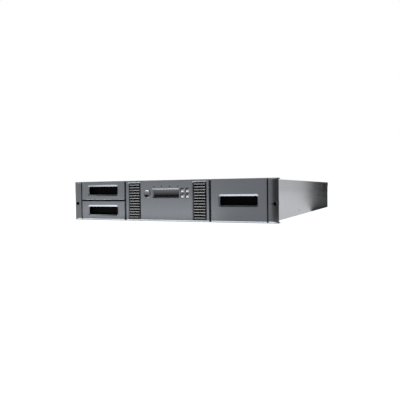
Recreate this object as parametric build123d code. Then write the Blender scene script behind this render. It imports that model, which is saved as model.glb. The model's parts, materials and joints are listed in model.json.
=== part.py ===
from build123d import *
from math import ceil, cos, hypot, pi, radians, sin, sqrt, tan
import os

# Tape library, two rack units high: a sheet-metal case with a moulded front, two cartridge
# magazines, a mail slot, a cartridge robot, two drive sleds, a power supply and a controller.
# Millimetres. X runs right as seen from the front, Y to the rear, Z up. The origin lies under
# the middle of the unit, on the surface that it stands on.

# Tape cartridge that every place is laid out for
CARTRIDGE_LENGTH = 105.4
CARTRIDGE_WIDTH = 102.0
CARTRIDGE_HEIGHT = 21.5

# Magazines
ROWS = 3
COLUMNS = 4
SLOT_SIDE_PLAY = 0.75
SLOT_TOP_PLAY = 1.5
SLOT_BACK_PLAY = 0.6
GRIP_LENGTH = 10.0          # how far a cartridge stands out for the gripper
SHELF = 2.0
RIB_THICKNESS = 2.5
RIB_HEIGHT = 8.0
SHELL_WALL = 2.0
END_PLATE = 2.5
FRONT_FLANGE = 2.0
MAGAZINE_SIDE_PLAY = 1.8
RUNNER_HEIGHT = 4.0
RUNNER_WIDTH = 8.0
RUNNER_INSET = 4.0
FENCE_THICKNESS = 1.5
FENCE_HEIGHT = 5.0
RUNNER_PLAY = 0.3
STRIKE_LENGTH = 10.0        # lock strike at the rear of a magazine
STRIKE_WIDTH = 8.0
STRIKE_HEIGHT = 9.0

# Mail slot, a one-cartridge drawer in the left magazine
MAIL_SHELF = 1.2
MAIL_WALL = 1.5
MAIL_WALL_HEIGHT = 16.0     # low, so that a cartridge can be picked up by its edges
MAIL_PLAY = 0.3

# Sheet-metal case
SHEET = 1.2
COVER_SHEET = 1.0
COVER_FLANGE = 12.0
CHASSIS_WIDTH = 446.0
HEADROOM = 2.5
BEND_RADIUS = 1.0
PLATE_FLANGE = 14.0
SCREW_HEAD = 6.0
SCREW_HEAD_HEIGHT = 1.2
SCREW_SHANK = 2.8
SCREW_LENGTH = 4.0
SCREW_PLAY = 0.2
REAR_SCREW_SPACING = 180.0
FRONT_SCREW_SPACING = 60.0
RAIL_HOLE = 5.0             # holes along the side for slide rails
RAIL_HOLE_DEPTHS = (281.0, 564.0)
RAIL_HOLE_HEIGHTS = (12.0, 19.0)
SEAM_WIDTH = 1.0            # relief slit below the first side hole
SEAM_HEIGHT = 6.0
SIDE_SCREW_INSET = 33.0
SIDE_SCREW_HEIGHT = 20.0

# Rack ears
EAR_REACH = 18.3
EAR_SHEET = 2.0
EAR_LEG = 42.0
EAR_MARGIN = 8.0
EAR_SLOT_INSET = 8.75
EAR_SLOT_HEIGHT = 37.45
EAR_SLOT_WIDTH = 7.0
EAR_SLOT_LENGTH = 10.5
EAR_FLANGE_INSET = 3.8      # from the cover's outer edge to the steel flange
EAR_WALL = 2.4
EAR_EDGE_DEPTH = 3.5        # how far the outer edge lies behind the front
EAR_FLAT = 4.0
EAR_TOP_BEVEL = 3.5
EAR_BOTTOM_BEVEL = 3.5

# Moulded fronts
FRONT_LIFT = 0.4
FRONT_OVERHANG = 1.6
BEZEL_DEPTH = 15.0
BEZEL_WALL = 3.0
TOP_BEVEL = 2.0
BOTTOM_BEVEL = 3.0
SPLIT_BEVEL = 0.8
SIDE_BEVEL = 0.8
LEAST_BEVEL = 0.1
CENTRE_WIDTH = 198.0
CENTRE_GAP = 4.5
EAR_GAP = 2.5
SPLIT_HEIGHT = 44.4
SPLIT_GAP = 3.0
BOSS_RADIUS = 3.5
BOSS_INSET = 9.0

# Finger pulls in the magazine fronts
PULL_MARGIN = 19.0
PULL_HEIGHT = 18.0
PULL_CORNER = 2.5
PULL_BEVEL = 3.6
PULL_BEVEL_DEPTH = 2.2
POCKET_WALL = 1.6
POCKET_FLANGE = 3.4
POCKET_UNDERCUT = 2.0
POCKET_BACK_PLAY = 0.4

# Air intakes in the centre front
GRILLE_INSET = 6.45
GRILLE_WIDTH = 29.3
GRILLE_HEIGHT = 75.4
GRILLE_BOTTOM = 5.8
GRILLE_LIP = 2.4
GRILLE_CORNER = 1.0
CARRIER_MARGIN = 1.2
CARRIER_DEPTH = 3.0
CARRIER_POST = 3.6
LOUVRES = 13
LOUVRE_LENGTH = 25.6
LOUVRE_HEIGHT = 3.1
LOUVRE_DEPTH = 2.4
LOUVRE_SLANT = 1.0

# Operator panel
CONTROL_ROOM = 33.15        # from an intake to the display, for the button and the keys
LCD_HEIGHT = 15.3
LCD_Z = 59.6
LCD_LIP = 2.6
LCD_CORNER = 0.6
GLASS = 1.5
GLASS_MARGIN = 2.5
LIGHTS = 4
LIGHT_INSET = 1.3
LIGHT_Z = 74.6
LIGHT_DIAMETER = 2.6
LIGHT_PLAY = 0.1
POWER_GAP = 14.7
POWER_Z = 59.2
POWER_DIAMETER = 17.0
POWER_PROUD = 0.6
POWER_DISH = 3.0
POWER_TRAVEL = 1.5
KEYPAD_GAP = 15.3
KEYPAD_Z = 60.2
KEY_PITCH = 11.4
KEY_SIZE = 9.0
KEY_TOP = 1.6
KEY_PROUD = 1.6
KEY_SHOULDER = 0.8          # how far behind the face the slanted sides begin
KEY_TRAVEL = 1.0
BUTTON_PLAY = 0.3
BUTTON_FLANGE = 0.9
BUTTON_FLANGE_DEPTH = 1.2
SWITCH_GAP = 0.3
BOARD = 1.6
BOARD_DEPTH = 9.4           # front face of the operator board behind the front
BOARD_HEIGHT = 44.0
BOARD_SIDE_GAP = 5.25
BOARD_Z = 61.0
BOARD_BOSS = 2.5

# Cartridge robot
CARRIAGE_MARGIN = 0.8
CARRIAGE_STANDOFF = 3.8
RAIL_INSET = 21.0           # from a magazine's open side to the rail
RAIL_WIDTH = 5.0
RAIL_HEIGHT = 3.8
RAIL_END_GAP = 2.0
SHOE_WALL = 3.0
SHOE_LENGTH = 30.0
SHOE_PLAY = 0.3
PAN_LIFT = 0.4
PAN_SHEET = 1.4
PAN_SIDE_PLAY = 1.4
WING_GAP = 0.8
MODULE = 2.0                # gear teeth
BACKLASH = 0.8
ADDENDUM = 1.2
DEDENDUM = 1.7
FLANK_ANGLE = 20.0
RACK_HEIGHT = 4.6
RACK_BACK = 3.5
TRAVEL_TEETH = 10
TURN_TEETH = 18
TURNTABLE_MARGIN = 3.0      # at least, from the cheeks' corners to the pitch circle
TRAVEL_MOTOR_INSET = 22.0   # from the rail to the travel motor
TRAVEL_MOTOR_MARGIN = 12.0
TURN_MOTOR_ANGLE = 135.0
MOTOR_DIAMETER = 20.0
MOTOR_HEIGHT = 24.0
MOTOR_SHAFT = 3.0
SHAFT_PLAY = 0.1
SHAFT_ENGAGE = 6.0
MOTOR_SHELF_MARGIN = 1.5
PIVOT_PAD = 0.9
PIVOT_PAD_RADIUS = 14.0
PIVOT_RADIUS = 5.0
PIVOT_PLAY = 0.1
TURNTABLE = 1.8
PICKER_FLOOR = 1.0
PICKER_LIFT = 0.5
PICKER_SIDE_PLAY = 4.0
PICKER_WALL = 1.5
PICKER_LENGTH = 110.0
LIFT_ROD = 4.0
LIFT_ROD_GAP = 3.5          # from the tray's wall to the rod's axis
LIFT_ROD_Y = 14.0
LIFT_PLAY = 0.25
LUG_WALL = 1.6
LUG_HEIGHT = 9.6
LIFT_SCREW = 5.0
LIFT_SCREW_GAP = 8.7        # from the tray's wall to the screw's axis
LIFT_MOTOR_DIAMETER = 10.0
LIFT_MOTOR_HEIGHT = 14.5
CHEEK_SHEET = 1.5
CHEEK_WIDTH = 40.0
CHEEK_GAP = 0.4
CHEEK_HEADROOM = 1.5
GRIPPER_BLOCK = 8.0
GRIPPER_TIP = 52.0
PRONG = 1.5
PRONG_HEIGHT = 7.0
PRONG_PLAY = 0.3
PRONG_HOOK = 1.5
GRIPPER_HEIGHT = 19.0
GRIPPER_STANDOFF = 3.0      # from the reaching prongs to the magazines and the drives

# Drives and their sleds
DRIVE_WIDTH = 146.0
DRIVE_LENGTH = 185.0
DRIVE_HEIGHT = 37.0
DRIVE_FACE_GAP = 1.0
DRIVE_EDGE = 1.5
MOUTH_SIDE_PLAY = 1.2
MOUTH_HEIGHT = 23.0
MOUTH_RAISE = 7.0
MOUTH_DEPTH = 112.0
MOUTH_LEAD = 2.0
FAN_BAY = 35.0
BAY_PLAY = 2.0
SLED_SHEET = 1.0
SLED_PLAY = 0.3
SLED_PLATE = 1.5
SLED_PLATE_MARGIN = 15.0
SLED_PLATE_GAP = 0.4
SLED_FAN_X = -42.0
SLED_FAN_RADIUS = 15.0
SLED_FAN_HUB = 5.5
FAN_DEPTH = 9.0
FAN_GAP = 4.0
FAN_POST = 2.0
FAN_POST_PLAY = 0.1
FAN_BLADES = 7
FAN_BLADE = 1.0
FAN_PITCH = 40.0
FAN_TIP_PLAY = 1.2
GUARD_BAR = 2.2
GUARD_RING = 3.0
DATA_PORTS = 2
DATA_PORT_X = 34.0
DATA_PORT_PITCH = 32.0
DATA_PORT_WIDTH = 24.0
DATA_PORT_HEIGHT = 9.0
DATA_PORT_RAISE = 10.0
DATA_PORT_PLAY = 0.5
DATA_PORT_WALL = 1.5
DATA_PORT_RECESS = 3.5
THUMB_HEAD = 9.0
THUMB_LENGTH = 8.0
THUMB_SHANK = 4.0
THUMB_REACH = 5.0
THUMB_PLAY = 0.2
THUMB_INSET = 7.0
HANDLE_WIDTH = 74.0
HANDLE_REACH = 18.5
HANDLE_BAR = 6.0
HANDLE_HEIGHT = 8.0
HANDLE_X = 22.0
HANDLE_RAISE = 25.0
HANDLE_CORNER = 5.0

# Power supply and controller at the rear
SUPPLY_BAY_GAP = 20.6       # room for the sleds' screws
SUPPLY_HEIGHT = 76.0
SUPPLY_SIDE_GAP = 4.0
SUPPLY_EDGE = 1.5
SUPPLY_FAN_INSET = 35.2
SUPPLY_FAN_Z = 44.0
SUPPLY_FAN_RADIUS = 28.0
SUPPLY_FAN_HUB = 11.0
SUPPLY_FAN_DEPTH = 16.0
INLET_INSET = 26.8
INLET_Z = 24.0
INLET_WIDTH = 27.0
INLET_HEIGHT = 20.0
INLET_FLANGE = 3.0
INLET_FLANGE_DEPTH = 2.0
INLET_BODY_DEPTH = 22.0
INLET_WALL = 1.4
INLET_CHAMFER = 4.0
INLET_CAVITY = 16.0
INLET_PLAY = 0.4
INLET_PIN_WIDTH = 2.0
INLET_PIN_HEIGHT = 4.0
INLET_PIN_LENGTH = 10.0
INLET_PIN_PITCH = 7.0
INLET_PIN_OFFSET = 4.0
CONTROLLER_WIDTH = 116.0
CONTROLLER_LENGTH = 170.0
CONTROLLER_INSET = 64.8
CONTROLLER_LIFT = 18.0
STANDOFF_RADIUS = 3.0
STANDOFF_INSET = 6.0
NETWORK_OFFSET = 36.0
NETWORK_WIDTH = 16.0
NETWORK_HEIGHT = 13.5
USB_OFFSET = 8.0
USB_WIDTH = 14.5
USB_HEIGHT = 7.2
SERIAL_OFFSET = -30.0
SERIAL_WIDTH = 31.0
SERIAL_HEIGHT = 12.5
SERIAL_PROUD = 5.0
SERIAL_SHELL_MARGIN = 6.0
SERIAL_SLANT = 80.0
PORT_DEPTH = 20.0
PORT_WALL = 1.0
PORT_PLAY = 0.4
PORT_CAVITY = 13.0
VENT_COUNT = 12
VENT_WIDTH = 4.0
VENT_HEIGHT = 18.0
VENT_PITCH = 8.0
VENT_Z = 64.0
RELEASE_HOLE = 4.5
RELEASE_INSET = 10.0
RELEASE_Z = 46.0

# Modelling aids
PAST = 1.0                  # how far a cut runs past a face
NEAR = 0.01

# Heights that follow
slot_width = CARTRIDGE_WIDTH + 2 * SLOT_SIDE_PLAY
slot_height = CARTRIDGE_HEIGHT + SLOT_TOP_PLAY
slot_depth = CARTRIDGE_LENGTH + SLOT_BACK_PLAY - GRIP_LENGTH
row_pitch = slot_height + SHELF
column_pitch = slot_width + RIB_THICKNESS
magazine_bottom = SHEET + RUNNER_HEIGHT + RUNNER_PLAY
magazine_top = magazine_bottom + SHELF + ROWS * row_pitch
first_floor = magazine_bottom + SHELF
mail_floor = first_floor + (ROWS - 1) * row_pitch
cover_under = magazine_top + HEADROOM
chassis_height = cover_under + COVER_SHEET
front_top = chassis_height + FRONT_OVERHANG
split_bottom = FRONT_LIFT + SPLIT_HEIGHT - SPLIT_GAP / 2
split_top = split_bottom + SPLIT_GAP

# Widths that follow
tray_half = CHASSIS_WIDTH / 2 - COVER_SHEET
inner_half = tray_half - SHEET
rack_half = CHASSIS_WIDTH / 2 + EAR_REACH
ear_slot_x = rack_half - EAR_SLOT_INSET
ear_slot_z = FRONT_LIFT + EAR_SLOT_HEIGHT
magazine_out = inner_half - MAGAZINE_SIDE_PLAY
wall_in = magazine_out - SHELL_WALL
magazine_in = wall_in - slot_depth
front_in = CENTRE_WIDTH / 2 + CENTRE_GAP
front_out = tray_half - EAR_GAP
pull_x = (front_in + front_out) / 2
pull_width = front_out - front_in - 2 * PULL_MARGIN
rail_x = magazine_in - RAIL_INSET
gripper_reach = magazine_in - GRIPPER_STANDOFF
grille_x = (CENTRE_WIDTH - GRILLE_WIDTH) / 2 - GRILLE_INSET
grille_inner = grille_x - GRILLE_WIDTH / 2
lcd_width = 2 * (grille_inner - CONTROL_ROOM)
power_x = -lcd_width / 2 - POWER_GAP
keypad_x = lcd_width / 2 + KEYPAD_GAP
board_width = 2 * (grille_inner - BOARD_SIDE_GAP)
bay_half = DRIVE_WIDTH / 2 + BAY_PLAY
supply_in = bay_half + SHEET + SUPPLY_BAY_GAP
supply_out = inner_half - SUPPLY_SIDE_GAP
supply_fan_x = supply_in + SUPPLY_FAN_INSET
inlet_x = supply_out - INLET_INSET
controller_x = CONTROLLER_INSET - inner_half
picker_half = CARTRIDGE_WIDTH / 2 + PICKER_SIDE_PLAY + PICKER_WALL
lift_rod_x = picker_half + LIFT_ROD_GAP
lift_screw_x = picker_half + LIFT_SCREW_GAP
cheek_x = lift_screw_x + LIFT_MOTOR_DIAMETER / 2 + CHEEK_GAP
cheek_corner = hypot(cheek_x + CHEEK_SHEET, CHEEK_WIDTH / 2)
turntable_teeth = ceil(2 * (cheek_corner + TURNTABLE_MARGIN) / MODULE)
turntable_radius = MODULE * turntable_teeth / 2
carriage_half = turntable_radius + ADDENDUM + CARRIAGE_MARGIN

# Depths that follow, first as distances behind the front face
first_column = BEZEL_DEPTH + SHEET + CARRIAGE_STANDOFF + carriage_half
last_column = first_column + (COLUMNS - 1) * column_pitch
drive_face = last_column + gripper_reach + GRIPPER_STANDOFF + DRIVE_FACE_GAP
rear_face = drive_face + DRIVE_LENGTH + FAN_BAY
overall_depth = KEY_PROUD + rear_face + SLED_PLATE + HANDLE_REACH
y_face = KEY_PROUD - overall_depth / 2
y_chassis = y_face + BEZEL_DEPTH
y_wall = y_face + BEZEL_WALL
y_back = y_face + rear_face
y_drive = y_face + drive_face
y_robot = y_face + last_column
y_slots = y_face + first_column - slot_width / 2
y_slots_end = y_face + last_column + slot_width / 2
y_magazine_end = y_slots_end + END_PLATE


def rect(x, z):
    """A rectangle between two ends on each axis."""
    return Pos(sum(x) / 2, sum(z) / 2) * Rectangle(x[1] - x[0], z[1] - z[0])


def block(x, y, z):
    """A box between two ends on each axis."""
    return Pos(sum(x) / 2, sum(y) / 2, sum(z) / 2) * Box(x[1] - x[0], y[1] - y[0], z[1] - z[0])


def polygon(*points):
    return make_face(Polyline(*points, close=True))


def run_x(outline, x):
    """An outline drawn in Y and Z, run along X."""
    return extrude(Plane.YZ.offset(x[0]) * outline, x[1] - x[0])


def run_y(outline, y):
    """An outline drawn in X and Z, run along Y."""
    across = Plane((0, y[0], 0), x_dir=(1, 0, 0), z_dir=(0, -1, 0))
    return extrude(across * outline, y[0] - y[1])


def run_z(outline, z):
    """An outline drawn in X and Y, run along Z."""
    return extrude(Plane.XY.offset(z[0]) * outline, z[1] - z[0])


def rounded(centre, size, corner):
    return Pos(*centre) * RectangleRounded(*size, corner)


def disc(centre, radius):
    return Pos(*centre) * Circle(radius)


def mirrored(shape):
    """The same piece on the other side of the unit."""
    return mirror(shape, about=Plane.YZ)


def both_sides(shape):
    return Compound([shape, mirrored(shape)])


def front_edges(shape, centre, size):
    """Edges of an opening where it breaks through the front face."""
    found = ShapeList()
    for edge in shape.edges().filter_by_position(Axis.Y, y_face - NEAR, y_face + NEAR):
        middle = edge.center()
        within_x = abs(middle.X - centre[0]) <= size[0] / 2 + NEAR
        within_z = abs(middle.Z - centre[1]) <= size[1] / 2 + NEAR
        if within_x and within_z:
            found.append(edge)
    return found


# Case


def side_hole_spots():
    return [(y_face + depth, height) for depth, height in zip(RAIL_HOLE_DEPTHS, RAIL_HOLE_HEIGHTS)]


def side_screw_spot():
    return y_back - SIDE_SCREW_INSET, SIDE_SCREW_HEIGHT


def chassis_tray():
    outline = rect((-tray_half, tray_half), (0, cover_under))
    outline -= rect((-inner_half, inner_half), (SHEET, 2 * cover_under))
    tray = run_y(outline, (y_chassis, y_back))
    bends = tray.edges().filter_by(Axis.Y).group_by(Axis.Z)[0]
    tray = fillet(bends, BEND_RADIUS)
    across = (-2 * tray_half, 2 * tray_half)
    for spot in side_hole_spots():
        tray -= run_x(disc(spot, RAIL_HOLE / 2), across)
    tray -= run_x(disc(side_screw_spot(), SCREW_SHANK / 2 + SCREW_PLAY), across)
    middle = side_hole_spots()[0][0]
    slit_y = (middle - SEAM_WIDTH / 2, middle + SEAM_WIDTH / 2)
    slit = block((inner_half, tray_half), slit_y, (SHEET, SHEET + SEAM_HEIGHT))
    return tray - slit - mirrored(slit)


def cover_screw_spots():
    rear = y_back - PLATE_FLANGE / 2
    front = y_chassis + PLATE_FLANGE / 2
    spots = [(x * REAR_SCREW_SPACING, rear) for x in (-1, 0, 1)]
    return spots + [(x * FRONT_SCREW_SPACING, front) for x in (-1, 1)]


def screw_holes(shape):
    """Clearance holes for the screws that hold the cover."""
    through = (cover_under - 2 * SHEET, chassis_height)
    for spot in cover_screw_spots():
        shape -= run_z(disc(spot, SCREW_SHANK / 2 + SCREW_PLAY), through)
    return shape


def top_cover():
    outline = rect((-CHASSIS_WIDTH / 2, CHASSIS_WIDTH / 2), (cover_under - COVER_FLANGE, chassis_height))
    outline -= rect((-tray_half, tray_half), (0, cover_under))
    cover = run_y(outline, (y_chassis, y_back))
    bends = cover.edges().filter_by(Axis.Y).group_by(Axis.Z)[-1]
    return screw_holes(fillet(bends, BEND_RADIUS))


def case_screws():
    pieces = []
    shank_z = (chassis_height - SCREW_LENGTH, chassis_height)
    for spot in cover_screw_spots():
        head = run_z(disc(spot, SCREW_HEAD / 2), (chassis_height, chassis_height + SCREW_HEAD_HEIGHT))
        head = chamfer(head.edges().group_by(Axis.Z)[-1], SCREW_HEAD_HEIGHT / 2)
        pieces.append(head + run_z(disc(spot, SCREW_SHANK / 2), shank_z))
    spot = side_screw_spot()
    head = run_x(disc(spot, SCREW_HEAD / 2), (tray_half, tray_half + SCREW_HEAD_HEIGHT))
    head = chamfer(head.edges().group_by(Axis.X)[-1], SCREW_HEAD_HEIGHT / 2)
    head += run_x(disc(spot, SCREW_SHANK / 2), (tray_half - SCREW_LENGTH, tray_half))
    return Compound(pieces + [head, mirrored(head)])


def front_support_plate():
    """Folded plate behind the centre front, with a window behind each intake."""
    half = CENTRE_WIDTH / 2 + SHEET
    plate = block((-half, half), (y_chassis, y_chassis + SHEET), (SHEET, cover_under))
    plate += block((-half, half), (y_chassis, y_chassis + PLATE_FLANGE), (cover_under - SHEET, cover_under))
    window = (GRILLE_WIDTH - 2 * CARRIER_POST, GRILLE_HEIGHT - 2 * CARRIER_POST)
    through = (y_chassis - PAST, y_chassis + SHEET + PAST)
    for side in (-1, 1):
        plate -= run_y(rounded(grille_centre(side), window, GRILLE_CORNER), through)
    return screw_holes(plate)


def ring_guard(centre, radius, hub):
    """Openings of a fan guard: rings cut by a cross of bars."""
    rings = Sketch()
    outer = radius
    while outer - GUARD_RING > hub:
        rings += disc(centre, outer) - disc(centre, outer - GUARD_RING)
        outer -= GUARD_RING + GUARD_BAR
    for turn in (45, 135):
        rings -= Pos(*centre) * Rot(0, 0, turn) * Rectangle(3 * radius, GUARD_BAR)
    return rings


def drive_levels():
    """Underside of each sled, lower one first."""
    lower = SHEET + SLED_PLAY
    upper = lower + SLED_SHEET + DRIVE_HEIGHT + BAY_PLAY + SHEET + SLED_PLAY
    return lower, upper


def rear_panel():
    x = (-inner_half, inner_half)
    panel = block(x, (y_back - SHEET, y_back), (SHEET, cover_under))
    panel += block(x, (y_back - PLATE_FLANGE, y_back), (cover_under - SHEET, cover_under))
    bay_top = drive_levels()[1] + SLED_SHEET + DRIVE_HEIGHT + SLED_PLAY
    panel -= block((-bay_half, bay_half), (y_back - 2 * SHEET, y_back + SHEET), (0, bay_top))
    cuts = ring_guard((supply_fan_x, SUPPLY_FAN_Z), SUPPLY_FAN_RADIUS, SUPPLY_FAN_HUB)
    cuts += rect(*inlet_body(INLET_PLAY))
    for centre, size in port_frames():
        cuts += Pos(*centre) * Rectangle(size[0] + 2 * PORT_PLAY, size[1] + 2 * PORT_PLAY)
    for step in range(VENT_COUNT):
        x = controller_x + (step - (VENT_COUNT - 1) / 2) * VENT_PITCH
        cuts += Pos(x, VENT_Z) * Rot(0, 0, 90) * SlotOverall(VENT_HEIGHT, VENT_WIDTH)
    for side in (-1, 1):
        cuts += disc((side * (inner_half - RELEASE_INSET), RELEASE_Z), RELEASE_HOLE / 2)
        for level in drive_levels():
            cuts += disc((side * thumb_x(), thumb_z(level)), THUMB_SHANK / 2 + THUMB_PLAY)
    return screw_holes(panel - run_y(cuts, (y_back - 2 * SHEET, y_back + SHEET)))


def drive_bay_frame():
    """Two walls and a shelf between them, which part the two sleds."""
    half = bay_half
    shelf = drive_levels()[1] - SLED_PLAY - SHEET
    outline = rect((-half - SHEET, half + SHEET), (SHEET, cover_under - SHEET))
    outline -= rect((-half, half), (SHEET, shelf))
    outline -= rect((-half, half), (shelf + SHEET, cover_under))
    return run_y(outline, (y_drive, y_back - SHEET))


def magazine_runners():
    """Nylon strips under each magazine. The inner one has a fence that keeps it straight."""
    y = (y_chassis + SHEET, y_magazine_end)
    low = (SHEET, SHEET + RUNNER_HEIGHT)
    outer = block((magazine_out - RUNNER_INSET - RUNNER_WIDTH, magazine_out - RUNNER_INSET), y, low)
    start = magazine_in - 2 * FENCE_THICKNESS
    fence = (start, start + 3 * FENCE_THICKNESS / 2)
    outline = rect((start, magazine_in + RUNNER_WIDTH), low)
    outline += rect(fence, (SHEET, low[1] + FENCE_HEIGHT))
    inner = run_y(outline, y)
    return Compound([outer, inner, mirrored(outer), mirrored(inner)])


# Rack ears


def ear_slot(y, wall):
    """Slot for the rack screw, or with a wall the tube round it."""
    slot = SlotOverall(EAR_SLOT_LENGTH + 2 * wall, EAR_SLOT_WIDTH + 2 * wall)
    return run_y(Pos(ear_slot_x, ear_slot_z) * slot, y)


def ear_span():
    """Height of a rack ear, clear of the cover's flange."""
    return EAR_MARGIN, cover_under - COVER_FLANGE - EAR_SHEET


def rack_ears():
    """Steel angle on each side: a leg on the case and a flange with the rack slot."""
    flange_y = (y_chassis - EAR_SHEET, y_chassis)
    outline = polygon(
        (tray_half, flange_y[0]),
        (rack_half - EAR_FLANGE_INSET, flange_y[0]),
        (rack_half - EAR_FLANGE_INSET, flange_y[1]),
        (tray_half + EAR_SHEET, flange_y[1]),
        (tray_half + EAR_SHEET, flange_y[1] + EAR_LEG),
        (tray_half, flange_y[1] + EAR_LEG),
    )
    ear = run_z(outline, ear_span())
    return both_sides(ear - ear_slot((y_face, y_chassis + EAR_SHEET), 0))


def front_profile(z, inset, back, top_bevel, bottom_bevel):
    """Side view of a moulded front, in Y and Z, with a slanted top and bottom edge."""
    front = y_face + inset
    low = z[0] + inset
    high = z[1] - inset
    return polygon(
        (front, low + bottom_bevel),
        (front + bottom_bevel, low),
        (back, low),
        (back, high),
        (front + top_bevel, high),
        (front, high - top_bevel),
    )


def inner_bevel(bevel, wall):
    """Bevel inside a wall that keeps its thickness round the slanted edge."""
    return max(bevel - (2 - sqrt(2)) * wall, LEAST_BEVEL)


def ear_plan():
    """Ear cover seen from above: a front that curves back a little to the outer edge."""
    flat = tray_half + EAR_FLAT
    edge = y_face + EAR_EDGE_DEPTH
    inner_side = [(flat, y_face), (tray_half, y_face), (tray_half, y_chassis)]
    lines = Polyline(*inner_side, (rack_half, y_chassis), (rack_half, edge))
    lines += TangentArc((flat, y_face), (rack_half, edge), tangent=(1, 0))
    return make_face(lines)


def ear_covers():
    """Moulded cover on each ear, open behind and at its outer side, with a tube round the rack slot."""
    span = (FRONT_LIFT, front_top)
    across = (0, 2 * rack_half)
    cover = run_z(ear_plan(), span)
    cover &= run_x(front_profile(span, 0, y_chassis, EAR_TOP_BEVEL, EAR_BOTTOM_BEVEL), across)
    bevels = [inner_bevel(bevel, EAR_WALL) for bevel in (EAR_TOP_BEVEL, EAR_BOTTOM_BEVEL)]
    hollow = run_z(Pos(EAR_WALL, EAR_WALL) * ear_plan(), span)
    hollow &= run_x(front_profile(span, EAR_WALL, y_chassis + EAR_WALL, *bevels), across)
    cover -= hollow - ear_slot((y_face, y_chassis), EAR_WALL)
    cover -= block((0, rack_half), (y_chassis - EAR_SHEET, y_chassis), ear_span())
    return both_sides(cover - ear_slot((y_face - PAST, y_chassis), 0))


# Moulded fronts


def moulded_front(x, z, top_bevel, bottom_bevel):
    """Hollow moulding, open at the back, with a slanted top and bottom edge."""
    shell = run_x(front_profile(z, 0, y_chassis, top_bevel, bottom_bevel), x)
    sides = shell.edges().filter_by(Axis.Z).group_by(Axis.Y)[0]
    shell = chamfer(sides, SIDE_BEVEL)
    bevels = [inner_bevel(bevel, BEZEL_WALL) for bevel in (top_bevel, bottom_bevel)]
    hollow = front_profile(z, BEZEL_WALL, y_chassis + BEZEL_WALL, *bevels)
    return shell - run_x(hollow, (x[0] + BEZEL_WALL, x[1] - BEZEL_WALL))


def bosses(spots, radius, back):
    """Screw posts behind a front wall."""
    posts = Part()
    for spot in spots:
        posts += run_y(disc(spot, radius), (y_wall, back))
    return posts


def pull_window(front, centre):
    """Opening for a finger pull, with a slanted frame round it."""
    size = (pull_width, PULL_HEIGHT)
    front -= run_y(rounded(centre, size, PULL_CORNER), (y_face - PAST, y_wall + PAST))
    face = front.faces().sort_by(Axis.Y)[0]
    return chamfer(front_edges(front, centre, size), PULL_BEVEL, PULL_BEVEL_DEPTH, reference=face)


def handle_pocket(centre):
    """Black cup behind a pull window, undercut above for the fingertips."""
    back = y_chassis - POCKET_BACK_PLAY
    x = (centre[0] - pull_width / 2, centre[0] + pull_width / 2)
    z = (centre[1] - PULL_HEIGHT / 2, centre[1] + PULL_HEIGHT / 2 + POCKET_UNDERCUT)
    outer = rect((x[0] - POCKET_WALL, x[1] + POCKET_WALL), (z[0] - POCKET_WALL, z[1] + POCKET_WALL))
    rim = rect((x[0] - POCKET_FLANGE, x[1] + POCKET_FLANGE), (z[0] - POCKET_FLANGE, z[1] + POCKET_FLANGE))
    cup = run_y(outer, (y_wall, back)) + run_y(rim, (y_wall, y_wall + POCKET_WALL))
    cavity = rounded((sum(x) / 2, sum(z) / 2), (x[1] - x[0], z[1] - z[0]), PULL_CORNER)
    return cup - run_y(cavity, (y_wall - PAST, back - POCKET_WALL))


def magazine_front(z, top_bevel, bottom_bevel):
    """Right-hand magazine front with its pull in the middle and a screw post in each corner."""
    x = (front_in, front_out)
    front = pull_window(moulded_front(x, z, top_bevel, bottom_bevel), (pull_x, sum(z) / 2))
    post_x = (magazine_in + BOSS_INSET, magazine_out - BOSS_INSET)
    spots = [(px, pz) for px in post_x for pz in (z[0] + BOSS_INSET, z[1] - BOSS_INSET)]
    keep_out = PULL_HEIGHT / 2 + POCKET_FLANGE + BOSS_RADIUS
    clear = [spot for spot in spots if abs(spot[1] - sum(z) / 2) > keep_out]
    return front + bosses(clear or [(magazine_out - BOSS_RADIUS, sum(z) / 2)], BOSS_RADIUS, y_chassis)


def full_front_span():
    return FRONT_LIFT, front_top


def lower_front_span():
    return FRONT_LIFT, split_bottom


def upper_front_span():
    return split_top, front_top


def right_magazine_front():
    return magazine_front(full_front_span(), TOP_BEVEL, BOTTOM_BEVEL)


def left_magazine_front():
    return mirrored(magazine_front(lower_front_span(), SPLIT_BEVEL, BOTTOM_BEVEL))


def mail_slot_front():
    return mirrored(magazine_front(upper_front_span(), TOP_BEVEL, SPLIT_BEVEL))


def right_handle_pocket():
    return handle_pocket((pull_x, sum(full_front_span()) / 2))


def left_handle_pocket():
    return mirrored(handle_pocket((pull_x, sum(lower_front_span()) / 2)))


def mail_slot_pocket():
    return mirrored(handle_pocket((pull_x, sum(upper_front_span()) / 2)))


# Centre front and operator panel


def grille_centre(side):
    return side * grille_x, FRONT_LIFT + GRILLE_BOTTOM + GRILLE_HEIGHT / 2


def key_spots():
    """Centres of the four keys by name."""
    spots = {}
    for row, sign_z in (("upper", 1), ("lower", -1)):
        for column, sign_x in (("left", -1), ("right", 1)):
            spot = (keypad_x + sign_x * KEY_PITCH / 2, KEYPAD_Z + sign_z * KEY_PITCH / 2)
            spots[f"key_{row}_{column}"] = spot
    return spots


def light_spots():
    first = LIGHT_INSET - lcd_width / 2
    pitch = -2 * first / (LIGHTS - 1)
    return [(first + step * pitch, LIGHT_Z) for step in range(LIGHTS)]


def board_post_spots():
    half = board_width / 2 - BOARD_BOSS
    return [(x, BOARD_Z - BOARD_HEIGHT / 2 + BOARD_BOSS) for x in (-half, half)]


def lipped_opening(front, centre, size, corner, lip):
    """Opening in the front wall with a slanted lip along its top."""
    front -= run_y(rounded(centre, size, corner), (y_face - PAST, y_wall + PAST))
    top = front_edges(front, centre, size).filter_by(Axis.X).sort_by(Axis.Z)[-1]
    return chamfer(top, lip)


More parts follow.
